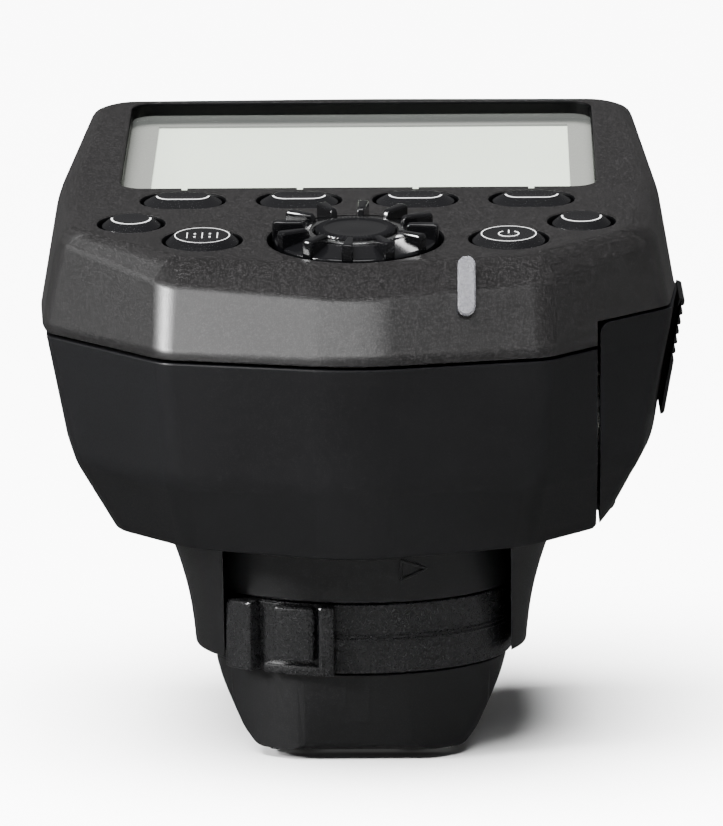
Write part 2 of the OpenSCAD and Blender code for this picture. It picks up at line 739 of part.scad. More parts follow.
module base_housing() {
    color(lower_colour) difference() {
        union() {
            intersection() {
                rod(14.9, 0, hub_floor);
                translate([0, 20, 0]) rotate([90, 0, 0]) linear_extrude(40)
                    polygon([[-10.4, 0.7], [10.4, 0.7], [11.3, 2.3], [13.7, 6.9], [14.8, hub_floor],
                        [-14.8, hub_floor], [-13.7, 6.9], [-11.3, 2.3]]);
                rotate([90, 0, 90]) linear_extrude(40, center = true)
                    polygon([[-15.5, hub_floor], [-15.2, 4.6], [-13.7, 1.2], [-13.2, 0.7],
                        [-5, 0.7], [8, 2.4], [16, base_bottom], [16, hub_floor]]);
            }
            tube(12.4, 10.6, hub_floor - 0.1, ledge_z - 0.02);
            rod(1.9, hub_floor - 0.1, hub_floor);
            for (a = hub_bearings) rotate([0, 0, a]) translate([10.6, 0, 0])
                rod(1.7, hub_floor - 0.1, ledge_z - 0.02);
        }
        tube(30, 12.4, hub_floor, 30);
        block(-shoe_half, shoe_half, -9.75, 20, -1, base_bottom);
        for (a = hub_bearings) rotate([0, 0, a]) translate([11.5, 0, 0])
            rod(0.7, hub_floor + 1, 30);
        block(-4.4, 4.4, -6, 5.2, 0, hub_floor + 1);
        translate([0, pin_y, 0]) {
            rod(pin_r + 0.05, 0, 20);
            rod(2.1, 6.9, hub_floor + 1);
        }
        for (sx = [-1, 1], sy = [-1, 1]) translate([sx * 5.3, sy * 7.2, 0]) rod(0.7, 0, 8);
    }
}
module foot_plate() {
    color(metal_colour) difference() {
        union() {
            rounded_plate(foot_w, foot_w, 0.8, 0, foot_t);
            block(-stem_w / 2, stem_w / 2, -foot_w / 2, foot_w / 2, foot_t - 0.1, base_bottom - 0.02);
        }
        block(-4.4, 4.4, -6, 5.2, -1, 10);
        translate([0, pin_y, -1]) rod(pin_r + 0.05, 0, 20);
        for (sx = [-1, 1], sy = [-1, 1]) translate([sx * 5.3, sy * 7.2, 0]) {
            rod(0.75, -1, 10);
            translate([0, 0, -0.01]) cylinder(r1 = 1.5, r2 = 0.7, h = 0.9);
        }
    }
}

// ---- Contacts in the foot: x, y and pin radius
centre_r = 1.1;
data_r = 0.6;
data_places = [[-3.1, -1.2], [3.1, -1.2], [-2.1, -4.4], [2.1, -4.4]];
module contact_block() {
    color([0.04, 0.04, 0.04]) difference() {
        block(-4.35, 4.35, -5.95, 5.15, 0, hub_floor);
        translate([0, 1.4, 0]) {
            rod(centre_r + 0.05, -1, 20);
            rod(centre_r + 0.6, 6, 20);
        }
        for (p = data_places) translate([p[0], p[1], 0]) {
            rod(data_r + 0.05, -1, 20);
            rod(data_r + 0.45, 6, 20);
        }
    }
}
module contact_pin(x, y, r) {
    color(gold_colour) translate([x, y, 0]) {
        rod(r, -0.3, 7);
        rod(r + 0.35, 6.02, 7);
    }
}
module lock_pin() {
    color(metal_colour) translate([0, pin_y, 0]) {
        rod(pin_r, 0.2, 13);
        rod(2, 12, 13);
    }
}
module lock_pin_spring() {
    color(metal_colour) translate([0, pin_y, 0]) coil(1.55, 0.2, 6, 6.92, 11.98);
}

// ---- Screws
module screw(r, z0, z1, head_r, head_h) {
    difference() {
        union() {
            rod(r, z0, z1);
            rod(head_r, z0, z0 + head_h);
        }
        block(-head_r * 0.7, head_r * 0.7, -0.2, 0.2, z0 - 1, z0 + 0.35);
        block(-0.2, 0.2, -head_r * 0.7, head_r * 0.7, z0 - 1, z0 + 0.35);
    }
}
module case_screws() {
    color(metal_colour) at_bosses() screw(screw_r - 0.25, rim_z + 0.05, seam_z + 3.2, 1.8, 0.9);
}
module neck_screws() {
    color(metal_colour) for (a = hub_bearings) rotate([0, 0, a]) translate([11.5, 0, 0])
        mirror([0, 0, 1]) screw(0.68, -ledge_z - 2.3, -ledge_z + 5, 1.5, 0.8);
}
module foot_screws() {
    color(metal_colour) for (sx = [-1, 1], sy = [-1, 1]) translate([sx * 5.3, sy * 7.2, 0])
        difference() {
            union() {
                rod(0.68, 0.1, 7.8);
                translate([0, 0, 0.05]) cylinder(r1 = 1.4, r2 = 0.65, h = 0.8);
            }
            block(-0.9, 0.9, -0.15, 0.15, -1, 0.35);
            block(-0.15, 0.15, -0.9, 0.9, -1, 0.35);
        }
}

upper_shell();
lower_shell();
battery_door();
door_latch();
door_hinge_pin();
door_contact();
screen_window();
screen_mask();
lcd_panel();
lcd_frame();
for (i = [0 : 3]) soft_key(key_xs[i]);
round_cap(small_btn_r, -small_btn_x, small_btn_v);  // round_button_left
round_cap(small_btn_r, small_btn_x, small_btn_v);  // round_button_right
round_cap(main_btn_r, -main_btn_x, main_btn_v);  // menu_button
round_cap(main_btn_r, main_btn_x, main_btn_v);  // power_button
jog_wheel();
wheel_trim_ring();
wheel_button();
wheel_encoder();
key_switches();
control_board();
main_board();
radio_module();
antenna();
beeper();
light_pipe();
status_led();
cell(cell_ys[0], false);  // battery_front
cell(cell_ys[1], true);  // battery_rear
battery_tray();
battery_springs();
sync_socket();
usb_socket();
port_cover();
neck_housing();
neck_flex();
lock_ring();
lock_pin();
lock_pin_spring();
base_housing();
foot_plate();
contact_block();
contact_pin(0, 1.4, centre_r);  // centre_contact
for (i = [0 : 3]) contact_pin(data_places[i][0], data_places[i][1], data_r);
case_screws();
neck_screws();
foot_screws();
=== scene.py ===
from math import acos, atan2, cos, degrees, pi, radians, sin, tan

import bmesh
import bpy
from mathutils import Matrix, Vector


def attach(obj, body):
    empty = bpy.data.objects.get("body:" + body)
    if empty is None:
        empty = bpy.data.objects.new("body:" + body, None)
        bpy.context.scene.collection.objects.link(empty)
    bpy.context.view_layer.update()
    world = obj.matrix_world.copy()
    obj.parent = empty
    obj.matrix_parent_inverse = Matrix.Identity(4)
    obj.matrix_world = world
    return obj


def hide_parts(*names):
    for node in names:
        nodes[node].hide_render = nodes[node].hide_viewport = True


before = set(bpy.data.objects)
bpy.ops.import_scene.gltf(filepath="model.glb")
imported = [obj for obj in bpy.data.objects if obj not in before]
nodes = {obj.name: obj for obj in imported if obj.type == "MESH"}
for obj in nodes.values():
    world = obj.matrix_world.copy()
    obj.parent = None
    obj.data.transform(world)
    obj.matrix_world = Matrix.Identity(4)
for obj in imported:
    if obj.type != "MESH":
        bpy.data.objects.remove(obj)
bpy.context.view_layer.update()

# Every mesh below is built in millimetres in the frame of the CAD and scaled at the end.
MM = 0.001
TILT = radians(8)
PANEL_Y, PANEL_Z = -27.0, 52.4


# -------- materials
MATERIALS = {}
MIX_A, MIX_B, MIX_RESULT = 6, 7, 2  # the colour sockets of a Mix node
MOTTLE_SCALE, BUMP_STRENGTH, COAT_ROUGHNESS = 60, 0.5, 0.1


def add(tree, kind, **values):
    """A new node; each value is linked to an input, set on the node or set on an input."""
    node = tree.nodes.new(kind)
    for key, value in values.items():
        if isinstance(value, bpy.types.NodeSocket):
            tree.links.new(value, node.inputs[key])
        elif hasattr(node, key):
            setattr(node, key, value)
        else:
            node.inputs[key].default_value = value
    return node


def new_material(name, stretch=(1, 1, 1)):
    """Adds a material and gives its node tree, its shader and the object's own coordinates."""
    MATERIALS[name] = bpy.data.materials.new(name)
    MATERIALS[name].use_nodes = True
    tree = MATERIALS[name].node_tree
    coords = add(tree, "ShaderNodeTexCoord").outputs["Object"]
    mapping = add(tree, "ShaderNodeMapping", Vector=coords, Scale=stretch)
    return tree, tree.nodes["Principled BSDF"], mapping.outputs["Vector"]


def noise(tree, vector, scale, detail=2.0):
    return add(tree, "ShaderNodeTexNoise", Vector=vector, Scale=scale, Detail=detail).outputs["Fac"]


def remap(tree, value, low, high, to_low, to_high):
    node = tree.nodes.new("ShaderNodeMapRange")
    for i, v in enumerate((low, high, to_low, to_high), start=1):
        node.inputs[i].default_value = v
    tree.links.new(value, node.inputs[0])
    return node.outputs["Result"]


def blend_colours(tree, factor, a, b):
    """Mixes towards the colour b; a is a colour or the output of another node."""
    node = add(tree, "ShaderNodeMix", data_type="RGBA")
    if isinstance(a, tuple):
        node.inputs[MIX_A].default_value = (*a, 1)
    else:
        tree.links.new(a, node.inputs[MIX_A])
    node.inputs[MIX_B].default_value = (*b, 1)
    tree.links.new(factor, node.inputs[0])
    return node.outputs[MIX_RESULT]


def dress(tree, shader, colour, roughness, heights):
    """Links a surface's colour and roughness to its shader, and a chain of bumps, each a
    (height, distance in metres) pair."""
    tree.links.new(colour, shader.inputs["Base Color"])
    tree.links.new(roughness, shader.inputs["Roughness"])
    below = {}
    for height, distance in heights:
        node = add(tree, "ShaderNodeBump", Strength=BUMP_STRENGTH, Distance=distance,
                   Height=height, **below)
        below = {"Normal": node.outputs["Normal"]}
    tree.links.new(below["Normal"], shader.inputs["Normal"])


def set_plain(shader, values):
    for key, value in values.items():
        shader.inputs[key].default_value = value


def grained(name, colour, lift, rough, spread, grain=3500, depth=8e-6, level=0.5,
            metallic=0.0, coat=0.0, stretch=(1, 1, 1), fleck=None):
    """Moulded or plated surface: colour mottled towards lift, fine grain in roughness and bump.
    fleck is (scale, threshold, colour): small bright flakes in the surface."""
    tree, shader, vector = new_material(name, stretch)
    broad = noise(tree, vector, MOTTLE_SCALE, 3)
    fine = noise(tree, vector, grain, 2)
    base = blend_colours(tree, remap(tree, broad, 0.3, 0.7, 0, 1), colour, lift)
    if fleck:
        scale, threshold, bright = fleck
        flake = add(tree, "ShaderNodeTexVoronoi", Vector=vector, Scale=scale)
        split = add(tree, "ShaderNodeSeparateColor", Color=flake.outputs["Color"])
        shine = remap(tree, split.outputs["Red"], threshold, 1, 0, 1)
        base = blend_colours(tree, shine, base, bright)
    dress(tree, shader, base, remap(tree, fine, 0.3, 0.7, rough - spread, rough + spread),
          [(broad, depth * 2), (fine, depth)])
    set_plain(shader, {"Metallic": metallic, "Specular IOR Level": level, "Coat Weight": coat,
                       "Coat Roughness": COAT_ROUGHNESS})


grained("shell_speckled", (0.0017, 0.0016, 0.0016), (0.0023, 0.0022, 0.0022), 0.38, 0.06, 8000,
        1.2e-5, 0.80, fleck=(10500, 0.62, (0.0105, 0.0100, 0.0102)))
grained("lower_satin", (0.0017, 0.0017, 0.0020), (0.0022, 0.0022, 0.0026), 0.44, 0.05, 6500, 7e-6,
        0.30, fleck=(12000, 0.85, (0.005, 0.005, 0.0056)))
grained("neck_satin", (0.0022, 0.0022, 0.0024), (0.0030, 0.0030, 0.0032), 0.36, 0.06, 7000, 9e-6,
        0.5, fleck=(12000, 0.75, (0.009, 0.009, 0.0095)))
grained("ring_satin", (0.0026, 0.0026, 0.0029), (0.0036, 0.0036, 0.0039), 0.30, 0.07, 6500,
        1.5e-5, 0.7, fleck=(9000, 0.7, (0.012, 0.012, 0.0125)))
# Painted shade: the shell's wells and screen recess are painted near-black and almost without
# gloss, standing for the shade that falls inside them.
grained("well_painted_shade", (0.0005, 0.0005, 0.0006), (0.0008, 0.0008, 0.0009), 0.5, 0.05, 5000, 4e-6,
        0.06)
grained("key_plastic", (0.0015, 0.0015, 0.0017), (0.0022, 0.0022, 0.0024), 0.24, 0.04, 4200, 2e-6,
        0.5)
grained("wheel_gloss", (0.0010, 0.0010, 0.0012), (0.0016, 0.0016, 0.0018), 0.16, 0.04, 2600, 2e-6,
        0.5, coat=0.5)
grained("wheel_metal", (0.75, 0.75, 0.76), (0.85, 0.85, 0.85), 0.22, 0.06, 3000, 4e-6,
        metallic=1.0)
grained("frame_plastic", (0.62, 0.62, 0.60), (0.70, 0.70, 0.68), 0.5, 0.05, 2400, 6e-6)
grained("tin", (0.62, 0.62, 0.60), (0.74, 0.74, 0.72), 0.34, 0.1, 1500, 6e-6, metallic=1.0)
grained("steel", (0.48, 0.48, 0.49), (0.60, 0.60, 0.60), 0.28, 0.08, 1800, 5e-6, metallic=1.0)
grained("gold", (0.78, 0.55, 0.22), (0.88, 0.66, 0.30), 0.22, 0.06, 2200, 4e-6, metallic=1.0)
grained("rubber", (0.0016, 0.0016, 0.0017), (0.0022, 0.0022, 0.0023), 0.55, 0.06, 3800, 1.0e-5,
        0.3)
grained("dark_plastic", (0.014, 0.014, 0.015), (0.02, 0.02, 0.021), 0.5, 0.08, 3200, 8e-6, 0.4)
grained("foot_metal", (0.50, 0.50, 0.50), (0.62, 0.62, 0.61), 0.30, 0.09, 1600, 5e-6,
        metallic=1.0, stretch=(1, 8, 1))
grained("black_steel", (0.05, 0.05, 0.052), (0.07, 0.07, 0.072), 0.34, 0.08, 2600, 6e-6,
        metallic=0.9)
grained("print_white", (0.24, 0.24, 0.24), (0.30, 0.30, 0.30), 0.45, 0.05, 5200, 3e-6)


def screen_glass():
    """Clear window with a few smudges."""
    tree, shader, vector = new_material("screen_glass")
    smudge = noise(tree, vector, 90, 4)
    dress(tree, shader, blend_colours(tree, smudge, (0.16, 0.17, 0.16), (0.19, 0.20, 0.19)),
          remap(tree, smudge, 0.3, 0.8, 0.02, 0.07), [(smudge, 2e-6)])
    set_plain(shader, {"Alpha": 0.10, "Specular IOR Level": 0.12})


def mask_print():
    """The grey border printed round the display."""
    tree, shader, vector = new_material("mask_print")
    fine = noise(tree, vector, 4000, 2)
    dress(tree, shader, blend_colours(tree, fine, (0.043, 0.043, 0.039), (0.055, 0.055, 0.050)),
          remap(tree, fine, 0.3, 0.7, 0.4, 0.55), [(fine, 3e-6)])


def lcd_glass():
    """Reflective display, unlit: pale grey-green with the faint grid of its picture cells."""
    tree, shader, vector = new_material("lcd_glass")
    grid = []
    for axis in ("X", "Y"):
        wave = add(tree, "ShaderNodeTexWave", Vector=vector, Scale=640.0, bands_direction=axis)
        grid.append(wave.outputs["Fac"])
    both = add(tree, "ShaderNodeMath", operation="MULTIPLY")
    for i in (0, 1):
        tree.links.new(grid[i], both.inputs[i])
    broad = noise(tree, vector, 40, 2)
    cells = blend_colours(tree, both.outputs[0], (0.27, 0.30, 0.25), (0.29, 0.32, 0.27))
    tint = blend_colours(tree, remap(tree, broad, 0.3, 0.7, 0, 0.35), cells, (0.30, 0.33, 0.28))
    dress(tree, shader, tint, remap(tree, broad, 0.3, 0.7, 0.32, 0.42), [(both.outputs[0], 2e-6)])


def board():
    """Green solder mask with copper runs that show through it and small bare pads."""
    tree, shader, vector = new_material("board")
    runs = add(tree, "ShaderNodeTexWave", Vector=vector, Scale=260.0, Distortion=9.0, Detail=1.0)
    pads = add(tree, "ShaderNodeTexVoronoi", Vector=vector, Scale=420.0)
    line = remap(tree, runs.outputs["Fac"], 0.6, 0.75, 0, 1)
    mask = blend_colours(tree, line, (0.010, 0.075, 0.030), (0.022, 0.13, 0.050))
    pad = remap(tree, pads.outputs["Distance"], 0.16, 0.20, 1, 0)
    tree.links.new(pad, shader.inputs["Metallic"])
    dress(tree, shader, blend_colours(tree, pad, mask, (0.62, 0.60, 0.52)),
          remap(tree, line, 0, 1, 0.3, 0.4), [(line, 2e-5), (pad, 2e-5)])


def cell_can():
    """Battery sleeve: plain dark wrap with a pale band round one end."""
    tree, shader, vector = new_material("cell_can")
    split = add(tree, "ShaderNodeSeparateXYZ", Vector=vector)
    fine = noise(tree, vector, 1800, 2)
    band = remap(tree, split.outputs["X"], 0.0120, 0.0121, 0, 1)
    dress(tree, shader, blend_colours(tree, band, (0.020, 0.045, 0.10), (0.50, 0.50, 0.48)),
          remap(tree, fine, 0.3, 0.7, 0.22, 0.34), [(fine, 4e-6)])
    set_plain(shader, {"Metallic": 0.55})


def flex():
    """Flat cable: copper runs under an amber film."""
    tree, shader, vector = new_material("flex")
    wave = add(tree, "ShaderNodeTexWave", Vector=vector, Scale=330.0)
    run = remap(tree, wave.outputs["Fac"], 0.4, 0.6, 0, 1)
    dress(tree, shader, blend_colours(tree, run, (0.36, 0.15, 0.03), (0.58, 0.29, 0.09)),
          remap(tree, run, 0, 1, 0.3, 0.24), [(run, 1e-5)])


def pipe():
    """Frosted light guide."""
    tree, shader, vector = new_material("pipe")
    fine = noise(tree, vector, 2600, 3)
    dress(tree, shader, blend_colours(tree, fine, (0.045, 0.045, 0.049), (0.062, 0.062, 0.066)),
          remap(tree, fine, 0.3, 0.7, 0.22, 0.34), [(fine, 6e-6)])
    set_plain(shader, {"Subsurface Weight": 0.4, "Subsurface Radius": (0.8, 0.8, 0.9),
                       "Subsurface Scale": 0.001})


def floor_paint():
    """Matt white, very slightly uneven."""
    tree, shader, vector = new_material("floor_paint")
    fine = noise(tree, vector, 120, 3)
    tree.links.new(blend_colours(tree, fine, (0.86, 0.86, 0.86), (0.88, 0.88, 0.88)),
                   shader.inputs["Base Color"])
    set_plain(shader, {"Roughness": 0.9, "Specular IOR Level": 0.1})


for make in (screen_glass, mask_print, lcd_glass, board, cell_can, flex, pipe, floor_paint):
    make()


# -------- places
# A place function takes (a, b, h), with h along the piece's own axis, to a point of the frame.
def upright(x, y, z):
    return (x, y, z)


def on_panel(x, v, h):
    """Panel coordinates (across, up the panel, above it) to the frame."""
    return (x, PANEL_Y + v * cos(TILT) - h * sin(TILT),
            PANEL_Z + v * sin(TILT) + h * cos(TILT))


def panel_at(x, v, lift=0.0):
    return lambda a, b, h: on_panel(x + a, v + b, h + lift)


def along_x(y, z):
    return lambda a, b, h: (h, y + a, z + b)


def along_y(x, z):
    return lambda a, b, h: (x + a, h, z + b)


def along_z(x, y):
    return lambda a, b, h: (x + a, y + b, h)


# -------- mesh helpers
WELD, AXIS_NEAR = 1e-5, 1e-6


def link(name, data):
    obj = bpy.data.objects.new(name, data)
    bpy.context.scene.collection.objects.link(obj)
    return obj


def mesh_object(name, points, faces):
    mesh = bpy.data.meshes.new(name)
    mesh.from_pydata([tuple(p) for p in points], [], faces)
    mesh.update()
    work = bmesh.new()
    work.from_mesh(mesh)
    bmesh.ops.remove_doubles(work, verts=work.verts, dist=WELD)
    bmesh.ops.recalc_face_normals(work, faces=work.faces)
    work.to_mesh(mesh)
    work.free()
    return link(name, mesh)


def stack(name, rings, closed=True):
    """A skin through rings with equally many points, capped unless the last meets the first."""
    n = len(rings[0])
    points = [p for ring in rings for p in ring]
    faces = [(k * n + i, (k + 1) * n + i, (k + 1) * n + (i + 1) % n, k * n + (i + 1) % n)
             for k in range(len(rings) - 1) for i in range(n)]
    if closed:
        faces += [tuple(range(n)), tuple(range((len(rings) - 1) * n, len(rings) * n))]
    else:
        last = (len(rings) - 1) * n
        faces += [(last + i, i, (i + 1) % n, last + (i + 1) % n) for i in range(n)]
    return mesh_object(name, points, faces)


def lathe(name, profile, steps=96, place=upright, wobble=None):
    """Turns a closed [r, z] profile round Z; points at r = 0 are merged. wobble(angle, r, z) may
    move a point."""
    rings = []
    for r, z in profile:
        ring = []
        for i in range(steps):
            a = 2 * pi * i / steps
            rr, zz = wobble(a, r, z) if wobble else (r, z)
            ring.append(place(rr * cos(a), rr * sin(a), zz))
        rings.append(ring)
    on_axis = min(profile[0][0], profile[-1][0]) < AXIS_NEAR
    return stack(name, rings, closed=on_axis)


def curve(a, p, b, steps):
    """Points of a bend from a to b whose tangents meet at p."""
    return [tuple(a * (1 - t) ** 2 + p * 2 * t * (1 - t) + b * t * t)
            for t in [k / steps for k in range(steps + 1)]]


def quarter(steps):
    """Sine and cosine at even steps of a quarter turn."""
    turns = [pi / 2 * k / steps for k in range(steps + 1)]
    return [(sin(t), cos(t)) for t in turns]


def soften(corners, steps=4, closed=False):
    """Rounds a polyline: corners are (x, y) or (x, y, radius)."""
    out = []
    count = len(corners)
    for i, c in enumerate(corners):
        r = c[2] if len(c) > 2 else 0
        if r == 0 or (not closed and i in (0, count - 1)):
            out.append((c[0], c[1]))
            continue
        p = Vector(c[:2])
        a = Vector(corners[i - 1][:2]) - p
        b = Vector(corners[(i + 1) % count][:2]) - p
        r = min(r, a.length * 0.49, b.length * 0.49)
        out += curve(p + a.normalized() * r, p, p + b.normalized() * r, steps)
    return out


def smooth_stack(rings, radii, steps=4):
    """Rounds the change of direction at each inner ring, by the radius given for it."""
    out = [rings[0]]
    for k in range(1, len(rings) - 1):
        blends = [[] for _ in range(steps + 1)]
        for a, b, c in zip(rings[k - 1], rings[k], rings[k + 1]):
            b = Vector(b)
            u, w = Vector(a) - b, Vector(c) - b
            r = min(radii[k - 1], u.length * 0.46, w.length * 0.46)
            bend = curve(b + u.normalized() * r, b, b + w.normalized() * r, steps)
            for blend, point in zip(blends, bend):
                blend.append(point)
        out += blends
    return out + [rings[-1]]


def prism(name, outline, z0, z1, place, edge=0.0, steps=3):
    """A straight solid over a closed outline, both its ends rounded by shrinking the outline."""
    turns = quarter(steps) if edge else [(0, 1)]
    rise = [(edge * (1 - s), edge * (1 - c)) for s, c in turns]
    levels = [(z0 + h, d) for h, d in reversed(rise)] + [(z1 - h, d) for h, d in rise]
    return stack(name, [[place(x, y, z) for x, y in shrink(outline, d)] for z, d in levels])


def shrink(points, d):
    """Moves a closed counter-clockwise outline inwards by d."""
    if d == 0:
        return list(points)
    out = []
    count = len(points)
    for i in range(count):
        a, p, b = (Vector(points[j % count]) for j in (i - 1, i, i + 1))
        u, w = (p - a), (b - p)
        if u.length < 1e-7:
            u = w
        if w.length < 1e-7:
            w = u
        u, w = u.normalized(), w.normalized()
        normal = Vector((-(u.y + w.y), u.x + w.x)).normalized()
        scale = max(0.5, normal.dot(Vector((-u.y, u.x))))
        out.append(tuple(p + normal * d / scale))
    return out


def arc_path(r, start, end, steps, centre=(0, 0)):
    turns = [radians(start + (end - start) * k / steps) for k in range(steps + 1)]
    return [(centre[0] + r * cos(a), centre[1] + r * sin(a)) for a in turns]


def rectangle(w, l, r, steps=6, centre=(0, 0)):
    out = []
    for sx, sy, start in ((1, -1, -90), (1, 1, 0), (-1, 1, 90), (-1, -1, 180)):
        middle = (centre[0] + sx * (w / 2 - r), centre[1] + sy * (l / 2 - r))
        out += arc_path(r, start, start + 90, steps, middle)
    return out


def circle(r, steps=48):
    return arc_path(r, 0, 360, steps)[:-1]


def apply_modifiers(obj):
    graph = bpy.context.evaluated_depsgraph_get()
    mesh = bpy.data.meshes.new_from_object(obj.evaluated_get(graph))
    old = obj.data
    obj.modifiers.clear()
    obj.data = mesh
    bpy.data.meshes.remove(old)


def combine(obj, others, operation="DIFFERENCE"):
    for other in others:
        mod = obj.modifiers.new("cut", "BOOLEAN")
        mod.object, mod.operation, mod.solver = other, operation, "EXACT"
        bpy.context.view_layer.update()
        apply_modifiers(obj)
        bpy.data.objects.remove(other)
    return obj


def join(name, parts):
    """One object out of several closed solids."""
    work = bmesh.new()
    for part in parts:
        work.from_mesh(part.data)
        bpy.data.objects.remove(part)
    mesh = bpy.data.meshes.new(name)
    work.to_mesh(mesh)
    work.free()
    return link(name, mesh)


def round_edges(obj, width, segments=2, angle=35):
    mod = obj.modifiers.new("edge", "BEVEL")
    mod.width, mod.segments, mod.limit_method = width, segments, "ANGLE"
    mod.angle_limit = radians(angle)
    apply_modifiers(obj)


def box_solid(x0, x1, y0, y1, z0, z1, place=upright):
    return prism("block", [(x0, y0), (x1, y0), (x1, y1), (x0, y1)], z0, z1, place)


def bar(r, start, end, place, steps=32, edge=0.0):
    """A round bar along its place function's third axis, with rounded ends if edge is given."""
    return prism("bar", circle(r, steps), start, end, place, edge)


SHARP_FROM, NORMAL_WEIGHT = radians(32), 60


def finish_piece(obj, body, slot, replaced=(), paint=None, second=None, where=None):
    """Metres, smooth shading with face-weighted normals, material, body and CAD node.
    Faces whose middle passes where() take the second paint."""
    mesh = obj.data
    mesh.materials.clear()
    mesh.materials.append(MATERIALS[paint or slot])
    if second:
        mesh.materials.append(MATERIALS[second])
    for face in mesh.polygons:
        face.material_index = 1 if second and where(face.center) else 0
    mesh.transform(Matrix.Scale(MM, 4))
    mesh.shade_smooth()
    mesh.set_sharp_from_angle(angle=SHARP_FROM)
    mod = obj.modifiers.new("normals", "WEIGHTED_NORMAL")
    mod.keep_sharp, mod.weight = True, NORMAL_WEIGHT
    apply_modifiers(obj)
    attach(obj, body)
    if replaced:
        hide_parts(*replaced)
    return obj


# -------- case outlines
# [x, y, corner radius] from the front middle to the back middle, right half.
RIM = [(0, -31, 10), (16.8, -22.8, 6), (24.1, -12.2, 8), (26.3, 2, 50), (24.3, 28.5, 8),
       (0, 29.2, 200)]
BEND = [(0, -34.3, 13), (18, -28.7, 5), (28.3, -15, 6), (30.1, 2, 60), (28.4, 33, 7.5),
        (0, 33.6, 200)]
SEAM = [(0, -37, 13), (19, -30.8, 4), (31.2, -12.4, 5.5), (32.05, 3, 60), (30.2, 36, 4.2),
        (0, 36.6, 200)]
FLARE = [(0, -36.9, 13), (19.1, -30.8, 4.5), (31.6, -12.6, 6), (32.6, 3, 60), (30.5, 36.2, 4.2),
         (0, 36.8, 200)]
RIDGE = [(0, -33.9, 13), (18.9, -27.9, 5), (30, -12.6, 6.5), (30.75, 3, 60), (28.5, 35.6, 4),
         (0, 36.2, 200)]
BROW = [(0, -30, 22), (17.8, -26.2, 5), (28.9, -14, 6), (30.3, 3, 60), (28, 35.2, 3.6),
        (0, 35.8, 200)]
PANEL = [(0, -27.2, 30), (16.5, -25, 5), (27.2, -15.5, 5), (29, 2, 60), (26.8, 34.2, 3.4),
         (0, 34.7, 200)]
RIM_Z, BEND_Z, SEAM_Z, SEAM_GAP, WALL = 23.1, 30.7, 43.05, 0.3, 1.8
RIDGE_DROP, BROW_DROP = 1.9, 0.55
ARC_STEPS, LEAST_CORNER_R = 8, 0.4


def corner_ways(points, i):
    """Ways from a corner to its neighbours, the way between them, and half the corner's angle."""
    u = (points[i - 1] - points[i]).normalized()
    w = (points[(i + 1) % len(points)] - points[i]).normalized()
    return u, w, (u + w).normalized(), acos(max(-1, min(1, u.dot(w)))) / 2


def rounded_outline(half, inset=0.0):
    """The whole outline with its left half mirrored, every side moved in and corners rounded."""
    corners = list(half) + [(-x, y, r) for x, y, r in half[-2:0:-1]]
    plain = [Vector((x, y)) for x, y, r in corners]
    moved = []
    for i, c in enumerate(plain):
        u, w, inward, half_angle = corner_ways(plain, i)
        moved.append(c + inward * inset / sin(half_angle))
    out = []
    for i, c in enumerate(moved):
        r = max(corners[i][2] - inset, LEAST_CORNER_R)
        u, w, inward, half_angle = corner_ways(moved, i)
        run = r / tan(half_angle)
        mid = c + inward * r / sin(half_angle)
        p, q = c + u * run - mid, c + w * run - mid
        start = atan2(p.y, p.x)
        turn = (atan2(q.y, q.x) - start + pi) % (2 * pi) - pi
        for k in range(ARC_STEPS + 1):
            a = start + turn * k / ARC_STEPS
            out.append((mid.x + r * cos(a), mid.y + r * sin(a)))
    return out


def level_ring(half, z, inset=0.0):
    return [(x, y, z) for x, y in rounded_outline(half, inset)]


def panel_height(y, drop=0.0):
    return PANEL_Z + (y - PANEL_Y) * tan(TILT) - drop / cos(TILT)


def tilted_ring(half, drop, inset=0.0):
    return [(x, y, panel_height(y, drop)) for x, y in rounded_outline(half, inset)]


def upper_rings(inset=0.0, drop=0.0, bottom=SEAM_Z + SEAM_GAP):
    return [level_ring(SEAM, bottom, inset), level_ring(FLARE, bottom + 0.8, inset),
            tilted_ring(RIDGE, RIDGE_DROP + drop * 0.7, inset),
            tilted_ring(BROW, BROW_DROP + drop, inset), tilted_ring(PANEL, drop, inset * 0.7)]


def lower_rings(inset=0.0, top=SEAM_Z, bottom=RIM_Z):
    return [level_ring(RIM, bottom, inset), level_ring(BEND, BEND_Z, inset),
            level_ring(SEAM, top, inset)]


def upper_skin():
    """The upper shell's outside: rounded lower lip, crisp ridge, soft brow, flat panel."""
    rings = ([level_ring(SEAM, SEAM_Z + SEAM_GAP, 0.35)] + upper_rings()
             + [tilted_ring(PANEL, 0, 0.7)])
    return stack("upper", smooth_stack(rings, [0.22, 0.5, 0.45, 1.5, 1.5]))


def flared_cutter(shape, depth, lip, place, above=2.0, steps=4):
    """A cutter whose mouth flares, so that the well it leaves has a rounded lip.
    shape(d) is its outline grown by d."""
    levels = [(-depth, 0.0)] + [(-lip * (1 - s), lip * (1 - c)) for s, c in quarter(steps)]
    levels.append((above, lip))
    return stack("cutter", [[place(a, b, h) for a, b in shape(d)] for h, d in levels])


def obround(length, width, steps=10, straight=1):
    """Outline of a plate with round ends, as a function of how far it is grown."""
    def grown(d):
        r = width / 2 + d
        run = (length - width) / 2
        out = []
        for side, start in ((1, -90), (-1, 90)):
            out += arc_path(r, start, start + 180, steps, (side * run, 0))
            for k in range(1, straight):
                out.append((side * run * (1 - 2 * k / straight), side * r))
        return out
    return grown


def disc(r, steps=48):
    return lambda d: circle(r + d, steps)


def rounded_rect(w, l, r):
    return lambda d: rectangle(w + 2 * d, l + 2 * d, r + d)


